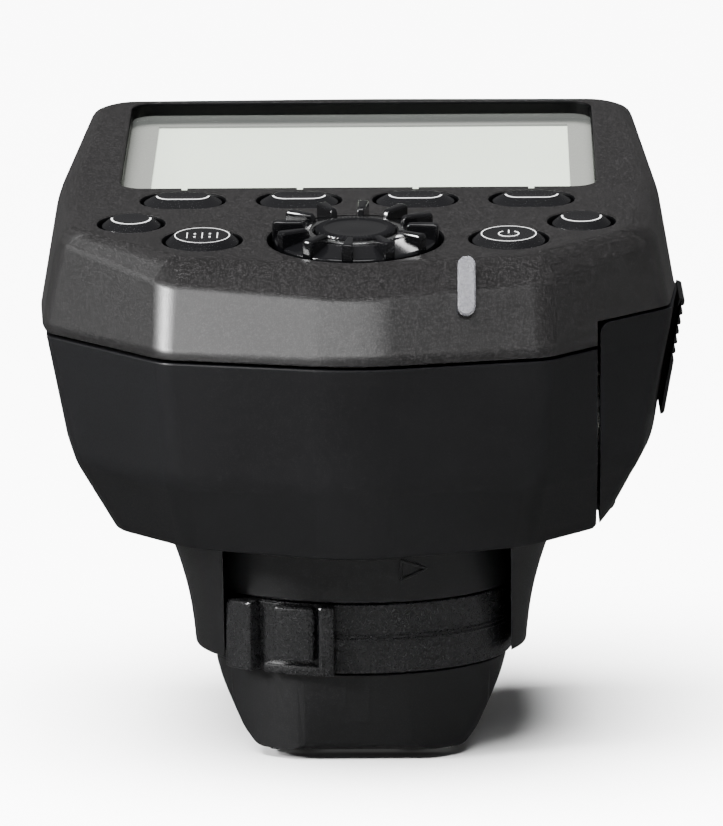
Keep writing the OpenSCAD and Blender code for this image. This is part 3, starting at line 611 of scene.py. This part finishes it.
# -------- upper and lower shells, door
KEY_XS = (-17.6, -5.87, 5.87, 17.6)
KEY_V, KEY_L, KEY_W = 22.9, 7.2, 4.6
SMALL_X, SMALL_V, SMALL_R = 22.5, 14.5, 2.5
MAIN_X, MAIN_V, MAIN_R = 15.2, 8.3, 3.1
WHEEL_V, WHEEL_R = 8.7, 8.3
SCREEN_W, SCREEN_L, SCREEN_DEPTH = 48.2, 33.4, 1.4
SCREEN_V = 27.6 + SCREEN_L / 2
WELL_EXTRA, WELL_DEPTH, WELL_LIP, CAP_GAP = 0.85, 0.9, 0.35, 0.2
KEY_WELL_EXTRA = 0.7
HOLE_DEPTH, HOLE_START = 4, -0.8  # of the hole for a cap's body in the floor of its well
CUP_FLOOR, CUP_T = -2.4, 1.0
WHEEL_WELL_R, SPINDLE_HOLE_R, NOTCH_HALF_W = WHEEL_R + 0.4, 5.4, 0.3
DOOR_X, DOOR_BACK, DOOR_TOP = 24.2, 29.5, 45.5
PIPE_X, PIPE_W, PIPE_LENGTH, PIPE_SHARE = 11, 1.75, 6.3, 0.25


def front_y(half, x):
    return half[0][1] + (half[1][1] - half[0][1]) * x / half[1][0]


def cap_well(well, hole, x, v):
    """Cutters for a key's shallow well and for the hole in its floor."""
    return [flared_cutter(well, WELL_DEPTH, WELL_LIP, panel_at(x, v)),
            flared_cutter(hole, HOLE_DEPTH, 0.05, panel_at(x, v, HOLE_START), 0.1)]


def door_gap(top):
    """Cutter for the door's opening in either half of the case."""
    return box_solid(DOOR_X - SEAM_GAP, 40, -30, DOOR_BACK + SEAM_GAP, RIM_Z - 1, top)


def make_upper_shell():
    """The skin hollowed, with the wheel's cup added and every opening cut."""
    shell = upper_skin()
    combine(shell, [stack("inner", upper_rings(WALL, WALL, SEAM_Z - 1))])
    combine(shell, [prism("cup", circle(WHEEL_WELL_R + 1), CUP_FLOOR - CUP_T, -0.6,
                          panel_at(0, WHEEL_V))], "UNION")
    cutters = [flared_cutter(disc(WHEEL_WELL_R, 72), -CUP_FLOOR, 0.45, panel_at(0, WHEEL_V)),
               flared_cutter(disc(SPINDLE_HOLE_R), 5, 0.1, panel_at(0, WHEEL_V, CUP_FLOOR),
                             -CUP_FLOOR)]
    for x in KEY_XS:
        cutters += cap_well(obround(KEY_L + 2 * KEY_WELL_EXTRA, KEY_W + 2 * KEY_WELL_EXTRA),
                            obround(KEY_L + 2 * CAP_GAP, KEY_W + 2 * CAP_GAP), x, KEY_V)
    for side in (-1, 1):
        for x, v, r in ((SMALL_X, SMALL_V, SMALL_R), (MAIN_X, MAIN_V, MAIN_R)):
            cutters += cap_well(disc(r + WELL_EXTRA), disc(r + CAP_GAP), side * x, v)
        for x in KEY_XS[2:]:
            cutters.append(box_solid(-NOTCH_HALF_W, NOTCH_HALF_W, -1, 1, -1.2, 1,
                                     panel_at(side * x, SCREEN_V - SCREEN_L / 2)))
    cutters.append(flared_cutter(rounded_rect(SCREEN_W, SCREEN_L, 2.2), 5, WELL_LIP,
                                 panel_at(0, SCREEN_V)))
    cutters.append(flared_cutter(rounded_rect(SCREEN_W + 3, SCREEN_L + 3, 3), 5, 0.05,
                                 panel_at(0, SCREEN_V, -SCREEN_DEPTH), 0.001))
    combine(shell, cutters + [door_gap(DOOR_TOP + SEAM_GAP)])
    return port_cut(shell)


# The part of the panel that holds the wells: half its width, its back, how far down a well's lip
# keeps the panel's paint, and the way to the panel's clipped front corners with their distance.
WELLS_HALF_W, WELLS_BACK, PAINTED_LIP = 26.4, 33.9, 0.14
CORNER_WAY, CORNER_FAR = Vector((0.664, -0.748)), 28.9


def in_painted_shade(p):
    """True inside the panel's wells and the screen recess, below their lips, where the shell takes
    its near-black painted shade.
    """
    up, out = sin(TILT), cos(TILT)
    v = (p.y - PANEL_Y) * out + (p.z - PANEL_Z) * up
    h = (p.z - PANEL_Z) * out - (p.y - PANEL_Y) * up
    front = 0 if abs(p.x) < WHEEL_WELL_R + 0.5 else 3
    corner = CORNER_WAY.dot((abs(p.x), p.y))
    return (h < -PAINTED_LIP and abs(p.x) < WELLS_HALF_W and p.y < WELLS_BACK and v > front
            and corner < CORNER_FAR)


PORT_Y0, PORT_Y1, PORT_Z0, PORT_Z1 = 6, 27.1, 45.2, 51.2
SYNC_Y, USB_Y, SOCKET_Z = 11.4, 21.6, 47.6
FLOOR_TOP = RIM_Z + WALL
HINGE_X, HINGE_Z, HINGE_Y0, HINGE_Y1, LUG_L = 24.9, 24.3, -2.5, 13.5, 2
KNUCKLE_R, BOSS_R, SCREW_HEAD_R = 1.15, 2.4, 2
BOSSES = [(s * x, y) for s in (-1, 1) for x, y in ((7.8, -22.8), (19, 21.5))]
PORT_CLEAR, COVER_X, COVER_T, BEAD_R, GROOVE_R = 0.2, -29.85, 0.9, 0.4, 0.55
SYNC_R, USB_HALF_W, USB_HALF_H = 3, 4.7, 1.9
HINGE_CLEAR_R = 1.75
on_hinge = along_y(HINGE_X, HINGE_Z)


def port_cut(shell):
    """The cover's pocket, the round groove its bead turns in, and the two socket openings."""
    pocket = box_solid(-40, -20, PORT_Y0 - PORT_CLEAR, PORT_Y1 + 1.15, PORT_Z0 - PORT_CLEAR,
                       PORT_Z1 + PORT_CLEAR)
    combine(pocket, [stack("inner", upper_rings(COVER_T + 0.2, COVER_T + 0.2))])
    groove = bar(GROOVE_R, PORT_Z0 + 1, PORT_Z1 - 1, along_z(COVER_X, PORT_Y1))
    sync = bar(SYNC_R, -40, -25, along_x(SYNC_Y, SOCKET_Z))
    usb = box_solid(-40, -25, USB_Y - USB_HALF_W, USB_Y + USB_HALF_W, SOCKET_Z - USB_HALF_H,
                    SOCKET_Z + USB_HALF_H)
    return combine(shell, [pocket, groove, sync, usb])


def make_port_cover():
    cover = box_solid(-40, -20, PORT_Y0, PORT_Y1, PORT_Z0, PORT_Z1)
    combine(cover, [upper_skin()], "INTERSECT")
    combine(cover, [stack("inner", upper_rings(COVER_T, COVER_T, SEAM_Z - 1))])
    round_edges(cover, 0.22)
    bead = bar(BEAD_R, PORT_Z0 + 1.3, PORT_Z1 - 1.3, along_z(COVER_X, PORT_Y1), edge=0.1)
    return join("cover", [cover, bead])


def pipe_point(t, x, h):
    """Point over the shell's front edge: share t along the light pipe, x across, h above."""
    edge, y1 = front_y(PANEL, x), front_y(BROW, x)
    y2, z1 = front_y(RIDGE, x), panel_height(front_y(BROW, x), BROW_DROP)
    z2 = panel_height(y2, RIDGE_DROP)
    corners = [(y1 + (edge - y1) * PIPE_SHARE, z1 + (panel_height(edge) - z1) * PIPE_SHARE),
               (y1, z1, 0.4), (y2, z2, 0.6), (y2 - 0.9, z2 - 2.5)]
    line = [Vector(p) for p in soften(corners, 6)]
    spans = [(b - a).length for a, b in zip(line, line[1:])]
    goal = t * sum(spans)
    for a, b, span in zip(line, line[1:], spans):
        if goal <= span or b is line[-1]:
            along = (b - a).normalized()
            p = a + along * goal
            return (x, p.x + along.y * h, p.y - along.x * h)
        goal -= span


def pipe_ring(grow, h):
    """The light pipe's outline, grown and raised off the shell."""
    return [pipe_point(0.5 + s / PIPE_LENGTH, PIPE_X + a, -h)
            for s, a in obround(PIPE_LENGTH, PIPE_W, 8, 26)(grow)]


def make_light_pipe():
    """Its sides stand a little proud of the shell and round over to a slight dome."""
    levels = [(-0.15, -1.2), (0, -1.0), (0, 0.05)]
    levels += [(-0.2 * (1 - c), 0.05 + 0.17 * s) for s, c in quarter(4)[1:]]
    levels += [(-0.45, 0.235), (-0.7, 0.24), (-PIPE_W / 2 + 0.02, 0.24)]
    return stack("pipe", [pipe_ring(grow, h) for grow, h in levels])


def make_lower_shell():
    """A bowl with a thick floor, the door's opening, hinge lugs and screw bosses."""
    rings = [level_ring(RIM, RIM_Z, 0.9)] + lower_rings() + [level_ring(SEAM, SEAM_Z, 0.6)]
    shell = stack("lower", smooth_stack(rings, [0.6, 1.3, 0.3]))
    combine(shell, [stack("inner", lower_rings(WALL, SEAM_Z + 1, FLOOR_TOP))])
    cutters = [door_gap(60), bar(HINGE_CLEAR_R, -13, 29, on_hinge)]
    for x, y in BOSSES:
        cutters.append(flared_cutter(disc(SCREW_HEAD_R), 1, 0.2,
                                     lambda a, b, h, x=x, y=y: (x + a, y - b, RIM_Z - h), 1))
    combine(shell, cutters)
    floor_plate = prism("floor", rounded_outline(RIM, WALL + 0.35), RIM_Z + 0.02,
                        FLOOR_TOP - 0.02, upright)
    combine(floor_plate, [bar(SCREW_HEAD_R + 0.05, RIM_Z - 1, RIM_Z + 1.02, along_z(x, y))
                          for x, y in BOSSES] + [bar(HINGE_CLEAR_R, -30, 30, on_hinge)])
    parts = [shell, floor_plate]
    for y in (HINGE_Y0, HINGE_Y1 - LUG_L):
        parts.append(bar(KNUCKLE_R, y, y + LUG_L, on_hinge, edge=0.15))
        parts.append(box_solid(22.5, HINGE_X, y + 0.02, y + LUG_L - 0.02, RIM_Z + 0.15, FLOOR_TOP))
    for x, y in BOSSES:
        parts.append(bar(BOSS_R, RIM_Z + 1, SEAM_Z, along_z(x, y)))
    return join("lower_case", parts)


def make_battery_door():
    """The case's right wall as a plate, with the hinge's middle knuckle."""
    rings = ([level_ring(RIM, RIM_Z + SEAM_GAP, 0.5)] + lower_rings(bottom=RIM_Z + SEAM_GAP)
             + [level_ring(FLARE, SEAM_Z + 3)])
    door = stack("door", smooth_stack(rings, [0.3, 1.3, 0.8]))
    combine(door, [stack("inner", lower_rings(WALL, SEAM_Z, RIM_Z - 1)
                         + [level_ring(FLARE, SEAM_Z + 5, WALL + 0.1)])])
    region = prism("region", rectangle(13, DOOR_TOP - RIM_Z + 3, 0.9, 4,
                                       (0, (DOOR_TOP + RIM_Z - 3) / 2)), -30, DOOR_BACK,
                   lambda a, b, h: (DOOR_X + 6.5 + a, h, b))
    combine(door, [region], "INTERSECT")
    round_edges(door, 0.25, 2, 50)
    knuckle = bar(KNUCKLE_R, HINGE_Y0 + LUG_L + 0.2, HINGE_Y1 - LUG_L - 0.2, on_hinge, edge=0.1)
    return join("door_case", [door, knuckle])


# -------- latch pad
LATCH_X, LATCH_Y, LATCH_Z, LATCH_SLANT = 31.27, 4, 38.9, radians(10.5)
LATCH_RELIEF = tan(radians(1.6))
RIBS, RIB_PITCH, RIB_START, RIB_TOP, RIB_VALLEY = 6, 1.0, -0.2, 0.77, 0.42


def on_door(h, y, s):
    """Latch coordinates: h out of the wall, y back, s up the slope."""
    c, n = cos(LATCH_SLANT), sin(LATCH_SLANT)
    return (LATCH_X + h * c + s * n, LATCH_Y + y, LATCH_Z - h * n + s * c)


def make_door_latch():
    """A pad whose thickness follows a ribbed profile up the slope."""
    profile = [(-5.8, 0.14), (-5.8, 0.62, 0.25), (-5.5, 0.78, 0.2), (RIB_START, 0.78)]
    for i in range(RIBS):
        s = RIB_START + i * RIB_PITCH
        profile += [(s + 0.12, RIB_TOP, 0.1), (s + 0.3, RIB_VALLEY, 0.12),
                    (s + 0.62, RIB_VALLEY, 0.12), (s + 0.8, RIB_TOP, 0.1)]
    profile += [(6.12, RIB_TOP, 0.15), (6.28, 0.55, 0.1), (6.28, 0.14)]
    line = soften(profile, 3)
    rings = []
    for y, drop in ((-6.48, 0.3), (-6.4, 0.1), (-6.2, 0), (6.2, 0), (6.4, 0.1), (6.48, 0.3)):
        rings.append([on_door(max(h - drop, 0.13 + max(0, (2.2 - s) * LATCH_RELIEF)), y, s)
                      for s, h in line])
    return stack("latch", rings)


# -------- controls
BTN_TOP, FOOT_H, STEM_R, PRINT_W, PRINT_INSET = 0.45, -0.38, 1.2, 0.18, 0.14
# How far each kind of cap's top lies inside its CAD outline, and its skirt outside it
KEY_TOP, SMALL_TOP, MAIN_TOP = 0.85, 0.42, 0.25
KEY_FOOT, SMALL_FOOT, MAIN_FOOT = 0.38, 0.45, 0.55


def add_cap(name, body, shape, x, v, half_width, inset, foot):
    """A key cap whose flanks slope out to a thin skirt just over the well's floor, and its stem.
    The skirt's underside stays above the floor when the key is pressed."""
    place = panel_at(x, v)
    profile = soften([(-2.6, 0), (FOOT_H, 0), (FOOT_H, foot, 0.05), (FOOT_H + 0.14, foot, 0.12),
                      (BTN_TOP, -inset, 0.2), (BTN_TOP, -inset - 0.45, 0.2),
                      (BTN_TOP - 0.06, 0.15 - half_width)], 4)
    cap = stack(name, [[place(a, b, h) for a, b in shape(grow)] for h, grow in profile])
    cap = join(name, [cap, bar(STEM_R, -5.2, -2.5, place, 16)])
    finish_piece(cap, body, "key_plastic", [body])


def stroke(path, width, closed=False):
    """Outline points either side of a flat line, as (left, right) lists."""
    left, right = [], []
    count = len(path)
    for i in range(count):
        a = Vector(path[(i - 1) % count] if closed or i else path[i])
        b = Vector(path[(i + 1) % count] if closed or i < count - 1 else path[i])
        d = (b - a).normalized()
        n = Vector((-d.y, d.x)) * width / 2
        p = Vector(path[i])
        left.append(tuple(p + n))
        right.append(tuple(p - n))
    return left, right


def printed_line(path, width, x, v, closed=False, thick=0.02):
    """A thin printed line that lies on a cap's flat top."""
    low, high = BTN_TOP - 0.04, BTN_TOP - 0.01 + thick
    place = panel_at(x, v)
    rings = [[place(*a, low), place(*a, high), place(*b, high), place(*b, low)]
             for a, b in zip(*stroke(path, width, closed))]
    return stack("print", rings, closed=not closed)


def finish_print(mark, body):
    finish_piece(mark, body, "key_plastic", paint="print_white")


def menu_icon():
    """Three bars with two dots between each pair."""
    lines = [printed_line([(x, -0.95), (x, 0.95)], 0.1, -MAIN_X, MAIN_V) for x in (-1.5, 0, 1.5)]
    for x in (-0.75, 0.75):
        for y in (0.55, -0.55):
            lines.append(printed_line([(x - 0.1, y), (x + 0.1, y)], 0.34, -MAIN_X, MAIN_V))
    return lines


def power_icon():
    """A broken ring with a stroke in its gap."""
    return [printed_line(arc_path(1.0, 125, 415, 30), 0.12, MAIN_X, MAIN_V),
            printed_line([(0, 0.2), (0, 1.25)], 0.12, MAIN_X, MAIN_V, thick=0.025)]


def make_keys():
    """The soft keys, the small round buttons and the two main buttons, each with its print."""
    run, r = (KEY_L - KEY_W) / 2, KEY_W / 2 - KEY_TOP - 0.12
    front_edge = arc_path(r, 185, 270, 10, (-run, 0)) + arc_path(r, 270, 355, 10, (run, 0))
    for i, x in enumerate(KEY_XS, start=1):
        body = "soft_key_%d" % i
        add_cap("key_cap_%d" % i, body, obround(KEY_L, KEY_W), x, KEY_V, KEY_W / 2, KEY_TOP,
                KEY_FOOT)
        finish_print(printed_line(front_edge, PRINT_W, x, KEY_V), body)
    small_edge = arc_path(SMALL_R - SMALL_TOP - PRINT_INSET, 170, 370, 30)
    for x, body in ((-SMALL_X, "round_button_left"), (SMALL_X, "round_button_right")):
        add_cap("cap_" + body, body, disc(SMALL_R), x, SMALL_V, SMALL_R, SMALL_TOP, SMALL_FOOT)
        finish_print(printed_line(small_edge, PRINT_W, x, SMALL_V), body)
    for x, body, icon in ((-MAIN_X, "menu_button", menu_icon),
                          (MAIN_X, "power_button", power_icon)):
        add_cap("cap_" + body, body, disc(MAIN_R), x, MAIN_V, MAIN_R, MAIN_TOP, MAIN_FOOT)
        edge = printed_line(circle(MAIN_R - MAIN_TOP - PRINT_INSET), 0.1, x, MAIN_V, closed=True)
        finish_print(join("print_" + body, [edge] + icon()), body)


# -------- wheel
FIN_IN, FIN_TURN, FINS, FIN_SPREAD, FIN_SHOULDER = 4.95, -5, 12, 0.35, 0.7
KNURLS, KNURL_DEPTH, KNURL_IN, KNURL_OUT, KNURL_Z = 60, 0.05, 3.35, 3.95, 0.85
wheel_place = panel_at(0, WHEEL_V)


def make_wheel():
    """A skirt that slopes down outwards, with rounded fins on it that lean out from the top."""
    profile = soften([(3.2, -4.4), (5.1, -4.4), (5.1, -2.1, 0.2), (8.1, -2.1, 0.2), (8.1, 0.0, 0.3),
                      (5.15, 0.62, 0.2), (4.2, 0.62, 0.1), (4.2, -0.6), (3.2, -0.6)], 3)
    parts = [lathe("skirt", profile, 96, wheel_place)]
    for i in range(FINS):
        turn = radians(FIN_TURN + i * 360 / FINS - 90)
        c, s = cos(turn), sin(turn)

        def fin_point(out, across, h, c=c, s=s):
            return wheel_place(out * c - across * s, out * s + across * c, h)

        rings = []
        for h, inset in ((-0.4, 0), (0.6, 0), (1.3, 0), (1.5, 0.05), (1.6, 0.14), (1.64, 0.3)):
            slope = max(0.0, FIN_SPREAD * (h - FIN_SHOULDER))
            outer, inner = WHEEL_R - 0.02 - inset, FIN_IN + slope + inset
            wide, slim = 0.6 - inset, 0.33 - inset * 0.7
            plan = soften([(inner, -slim, 0.12), (outer, -wide, 0.3), (outer, wide, 0.3),
                           (inner, slim, 0.12)], 3, closed=True)
            rings.append([fin_point(a, b, h) for a, b in plan])
        parts.append(stack("fin", rings))
    return join("wheel", parts)


def make_trim_ring():
    """The thin bright ring between the wheel's fins and its button."""
    profile = soften([(4.3, 0.65), (4.3, 0.82, 0.08), (4.6, 0.85, 0.1), (4.92, 0.8, 0.08),
                      (4.92, 0.65)], 3)
    return lathe("trim", profile, 96, wheel_place)


def make_wheel_button():
    """Dished centre button with a finely knurled rim."""
    def knurl(a, r, z):
        if KNURL_IN < r < KNURL_OUT and z > KNURL_Z:
            z += KNURL_DEPTH * cos(a * KNURLS)
        return r, z

    profile = [(0, 0.2), (3.9, 0.2), (3.99, 0.3), (3.99, 0.88), (3.93, 1.0), (3.7, 1.1),
               (3.45, 1.14), (3.2, 1.12), (3.05, 1.0), (2.6, 0.97), (1.6, 1.0), (0.8, 1.02),
               (0.0, 1.03)]
    cap = lathe("cap", profile, 240, wheel_place, knurl)
    stem = bar(1.75, -4.6, 0.3, wheel_place, 24)
    return join("wheel_cap", [cap, stem])


# -------- neck, lock ring and base
RING_R, RING_BORE, RING_Z, RING_H, SKIRT_R, BAND_R = 15.4, 12.45, 8.9, 7.1, 17.0, 15.9
LEDGE_Z = RING_Z + RING_H + 0.2
NECK_TOP = RIM_Z - 0.02
WINDOW = (-13.7, 15.3)  # where the skirt is open at the front, in x
ARROW_BEARING, ARROW_Z, ARROW_STEPS = 20.3, 19.5, 8


def bearing_point(r, bearing, z):
    """Point at an angle measured from the front towards the right."""
    a = radians(bearing - 90)
    return (r * cos(a), r * sin(a), z)


def sector_block(r_in, r_out, start, end, z0, z1, edge, steps=14):
    """Part of a ring whose outer corners and upper and lower edges are rounded."""
    section = soften([(r_in, z0), (r_out, z0, edge), (r_out, z1, edge), (r_in, z1)], 3)
    rings = []
    turn = degrees(edge / r_out)
    places = [(start, edge), (start + turn * 0.3, edge * 0.35), (start + turn, 0)]
    places += [(start + turn + (end - start - 2 * turn) * k / steps, 0) for k in range(1, steps)]
    places += [(end - turn, 0), (end - turn * 0.3, edge * 0.35), (end, edge)]
    mid, half = (z0 + z1) / 2, (z1 - z0) / 2
    for bearing, pull in places:
        ring = []
        for r, z in section:
            rr = min(r, r_out - pull) if r > r_in else r
            zz = mid + (z - mid) * (half - pull * 0.6) / half
            ring.append(bearing_point(rr, bearing, zz))
        rings.append(ring)
    return stack("sector", rings)


def raised_line(points, width, height, wrap):
    """A raised rounded rib along a closed line; wrap(a, b, h) puts it on a surface."""
    sides = zip(*stroke(points, width, closed=True), *stroke(points, width * 0.5, closed=True))
    rings = [[wrap(*left, -0.15), wrap(*left, height * 0.55), wrap(*inner_left, height),
              wrap(*inner_right, height), wrap(*right, height * 0.55), wrap(*right, -0.15)]
             for left, right, inner_left, inner_right in sides]
    return stack("rib", rings, closed=False)


def make_neck():
    """A skirt open at the front round a plain band, with two discs inside and a raised arrow."""
    profile = soften([(RING_R + 0.3, RING_Z + 1), (RING_R + 0.5, RING_Z + 0.72, 0.15),
                      (SKIRT_R - 0.1, RING_Z + 0.72, 0.3), (SKIRT_R + 0.15, 12.2, 1.5),
                      (SKIRT_R + 0.6, 15, 1.5), (SKIRT_R + 1.4, 18, 1.5),
                      (SKIRT_R + 2.3, 20.6, 1.5), (SKIRT_R + 3.4, NECK_TOP),
                      (RING_R + 0.3, NECK_TOP)], 4)
    skirt = lathe("skirt", profile, 128)
    combine(skirt, [box_solid(*WINDOW, -30, 0, 0, NECK_TOP + 1)])
    round_edges(skirt, 0.3, 3, 50)
    band_profile = soften([(14.2, LEDGE_Z), (BAND_R, LEDGE_Z, 0.35), (BAND_R, NECK_TOP),
                           (14.2, NECK_TOP)], 4)
    parts = [skirt, lathe("band", band_profile, 128)]
    for r, z0, z1 in ((6, NECK_TOP - 1.8, NECK_TOP - 0.02), (8, LEDGE_Z + 0.02, LEDGE_Z + 1.4)):
        parts.append(lathe("disc", [(r, z0), (BAND_R - 0.3, z0), (BAND_R - 0.3, z1), (r, z1)]))
    arrow = [(-1.35, -1.0), (1.35, 0.0), (-1.35, 1.0)]
    line = []
    for i, p in enumerate(arrow):
        q = arrow[(i + 1) % 3]
        line += [tuple(Vector(p).lerp(q, k / ARROW_STEPS)) for k in range(ARROW_STEPS)]

    def wrap(a, b, h):
        return bearing_point(BAND_R + h, ARROW_BEARING + degrees(a / BAND_R), ARROW_Z + b)

    parts.append(raised_line(line, 0.34, 0.16, wrap))
    return join("neck", parts)


def make_lock_ring():
    """A ring with two fine ridges round it and the thumb grip's raised blocks."""
    z0, z1 = RING_Z, RING_Z + RING_H
    ridge_r = RING_R + 0.12
    ridges = []
    for foot_z, crest_0, crest_1, last_z in ((12.16, 12.26, 12.4, 12.48),
                                             (12.56, 12.64, 12.78, 12.88)):
        ridges += [(RING_R, foot_z, 0.1), (ridge_r, crest_0, 0.1), (ridge_r, crest_1, 0.1),
                   (RING_R, last_z, 0.1)]
    profile = soften([(RING_BORE, z0), (RING_R, z0, 0.3)] + ridges
                     + [(RING_R, z1, 0.3), (RING_BORE, z1)], 3)
    parts = [lathe("ring", profile, 160)]
    # The thumb grip's parts: inner and outer radius, first and last bearing, bottom, top, edge
    for r_in, r_out, start, end, low, high, edge in (
            (15.2, 17.28, -52.5, -39.5, z0 - 0.1, z1 - 0.04, 0.45),
            (15.15, 15.75, -40, -9.2, z0 - 0.06, z1 - 0.14, 0.15),
            (15.1, 17.0, -31, -15.6, z0 + 1.4, z1 - 0.18, 0.45),
            (15.05, 16.7, -14.4, -8.6, z0 - 0.1, z1 - 0.1, 0.35),
            (15.0, 16.62, -36, -9, z0 - 0.08, z0 + 0.9, 0.25)):
        parts.append(sector_block(r_in, r_out, start, end, low, high, edge))
    return join("ring", parts)


HUB_FLOOR, HUB_R, BASE_R = RING_Z - 0.2, 12.35, 14.9
BASE_BOTTOM, SHOE_HALF, PIN_Y, LOCK_PIN_R = 4.2, 10.5, 7.4, 1.1


def make_base():
    """The round base cut by a faceted front profile, a side profile and the shoe's channel."""
    cup = lathe("cup", soften([(0, 0), (BASE_R, 0), (BASE_R, HUB_FLOOR, 0.2), (0, HUB_FLOOR)], 3),
                128)
    flank = [(10.4, 0.7), (11.8, 2.3), (14.2, 6.9), (BASE_R, HUB_FLOOR), (BASE_R, HUB_FLOOR + 1)]
    front = [(-10.4, 0.7)] + flank + [(-x, z) for x, z in flank[:0:-1]]
    side = [(-15.5, HUB_FLOOR + 1), (-15.2, 4.6), (-13.7, 1.2), (-13.2, 0.7), (-5, 0.7), (8, 2.4),
            (16, BASE_BOTTOM), (16, HUB_FLOOR + 1)]
    front = soften([(x, z, 0.7) for x, z in front], 4, closed=True)
    side = soften([(y, z, 0.8) for y, z in side], 4, closed=True)
    combine(cup, [prism("front", front, -20, 20, along_y(0, 0)),
                  prism("side", side, -20, 20, along_x(0, 0))], "INTERSECT")
    combine(cup, [box_solid(-SHOE_HALF, SHOE_HALF, -9.75, 20, -1, BASE_BOTTOM)])
    round_edges(cup, 0.3, 3, 40)
    well = box_solid(-4.4, 4.4, -6, 5.2, 0, HUB_FLOOR + 1)
    combine(cup, [well, bar(LOCK_PIN_R + 0.05, 0, 20, along_z(0, PIN_Y))])
    hub = lathe("hub", soften([(10.6, HUB_FLOOR - 0.1), (HUB_R, HUB_FLOOR - 0.1),
                               (HUB_R, LEDGE_Z - 0.02, 0.2), (10.6, LEDGE_Z - 0.02)], 3))
    return join("base", [cup, hub])


# -------- pieces over the CAD
# How each piece is made, its name, its body, its slot, the node it stands for, and other paints
for make, name, body, slot, node, extra in (
        # The upper case's wells and screen recess, below their lips, take the near-black second
        # paint: painted shade.
        (make_upper_shell, "upper_case", "body", "shell_speckled", "upper_shell",
         {"second": "well_painted_shade", "where": in_painted_shade}),
        (make_port_cover, "side_cover", "port_cover", "rubber", "port_cover", {}),
        (make_lower_shell, "lower_case", "body", "lower_satin", "lower_shell", {}),
        (make_battery_door, "door_case", "battery_door", "lower_satin", "battery_door", {}),
        (make_door_latch, "latch_pad", "door_latch", "rubber", "door_latch", {}),
        (make_light_pipe, "light_guide", "body", "pipe", "light_pipe", {}),
        (make_wheel, "dial_wheel", "jog_wheel", "wheel_gloss", "jog_wheel", {}),
        (make_trim_ring, "dial_trim", "jog_wheel", "wheel_metal", "wheel_trim_ring", {}),
        (make_wheel_button, "wheel_cap", "wheel_button", "wheel_gloss", "wheel_button", {}),
        (make_neck, "neck", "body", "neck_satin", "neck_housing", {}),
        (make_lock_ring, "lock_collar", "lock_ring", "neck_satin", "lock_ring",
         {"paint": "ring_satin"}),
        (make_base, "base_case", "body", "neck_satin", "base_housing", {})):
    finish_piece(make(), body, slot, [node], **extra).name = name
make_keys()

NODE_PAINT = {
    "tin": ["radio_module", "usb_socket", "lcd_frame"],
    "board": ["control_board", "main_board"],
    "gold": ["antenna", "centre_contact"] + ["data_contact_%d" % i for i in range(1, 5)],
    "steel": ["battery_springs", "door_contact", "door_hinge_pin", "lock_pin", "lock_pin_spring"],
    "foot_metal": ["foot_plate"],
    "black_steel": ["case_screws", "neck_screws", "foot_screws"],
    "dark_plastic": ["battery_tray", "beeper", "wheel_encoder", "sync_socket", "contact_block"],
    "frame_plastic": ["key_switches", "status_led"],
    "lcd_glass": ["lcd_panel"],
    "mask_print": ["screen_mask"],
    "screen_glass": ["screen_window"],
    "cell_can": ["battery_front", "battery_rear"],
    "flex": ["neck_flex"],
}
for paint, names in NODE_PAINT.items():
    for name in names:
        mesh = nodes[name].data
        mesh.materials.clear()
        mesh.materials.append(MATERIALS[paint])


# -------- floor, light and camera
FLOOR_HALF, FLOOR_Z = 6000, -0.4


def make_floor():
    corners = [(x * FLOOR_HALF, y * FLOOR_HALF, FLOOR_Z)
               for x, y in ((-1, -1), (1, -1), (1, 1), (-1, 1))]
    obj = mesh_object("floor", corners, [(0, 1, 2, 3)])
    obj.data.transform(Matrix.Scale(MM, 4))
    obj.data.materials.append(MATERIALS["floor_paint"])
    obj.visible_glossy = False  # black cards keep the table out of the glossy faces


def place_light(name, data, place, way):
    obj = link(name, data)
    obj.location = place
    obj.rotation_euler = Vector(way).to_track_quat("-Z", "Y").to_euler()
    return obj


def soft_light(name, place, size, power):
    """A rectangular light that faces the middle of the object."""
    data = bpy.data.lights.new(name, "AREA")
    data.shape, data.size, data.size_y, data.energy = "RECTANGLE", *size, power
    place_light(name, data, place, Vector(CENTRE) - Vector(place))


CENTRE = (0, 0, 0.035)
make_floor()
world = bpy.data.worlds.new("studio")
world.use_nodes = True
world.node_tree.nodes["Background"].inputs["Color"].default_value = (1, 1, 1, 1)
world.node_tree.nodes["Background"].inputs["Strength"].default_value = 0.12
bpy.context.scene.world = world
sky = bpy.data.lights.new("overhead", "SUN")
sky.energy, sky.angle = 36, radians(60)
overhead = place_light("overhead", sky, (0, 0, 0), (0.12, 0.22, -1))
overhead.visible_glossy = False  # a cross-polarised overhead: it lights without glare
soft_light("left", (-0.69, -0.30, 0.38), (0.2, 0.2), 15)
soft_light("front", (-0.08, -0.58, 0.71), (0.8, 0.22), 3.2)

ELEVATION, AZIMUTH, ROLL = radians(9.2), radians(0.8), radians(0.45)
back = Vector((sin(AZIMUTH) * cos(ELEVATION), -cos(AZIMUTH) * cos(ELEVATION),
               sin(ELEVATION)))
right = Vector((0, 0, 1)).cross(back).normalized()
up = back.cross(right)
turned_right = right * cos(ROLL) - up * sin(ROLL)
turned_up = right * sin(ROLL) + up * cos(ROLL)
camera_data = bpy.data.cameras.new("camera")
camera_data.sensor_fit, camera_data.sensor_height, camera_data.lens = "VERTICAL", 36, 342
camera_data.clip_start, camera_data.clip_end = 0.05, 50
camera = link("camera", camera_data)
place = Vector((0.0002, 0, 0.033)) + back * 0.8
axes = Matrix((turned_right, turned_up, back)).transposed().to_4x4()
camera.matrix_world = Matrix.Translation(place) @ axes
bpy.context.scene.camera = camera
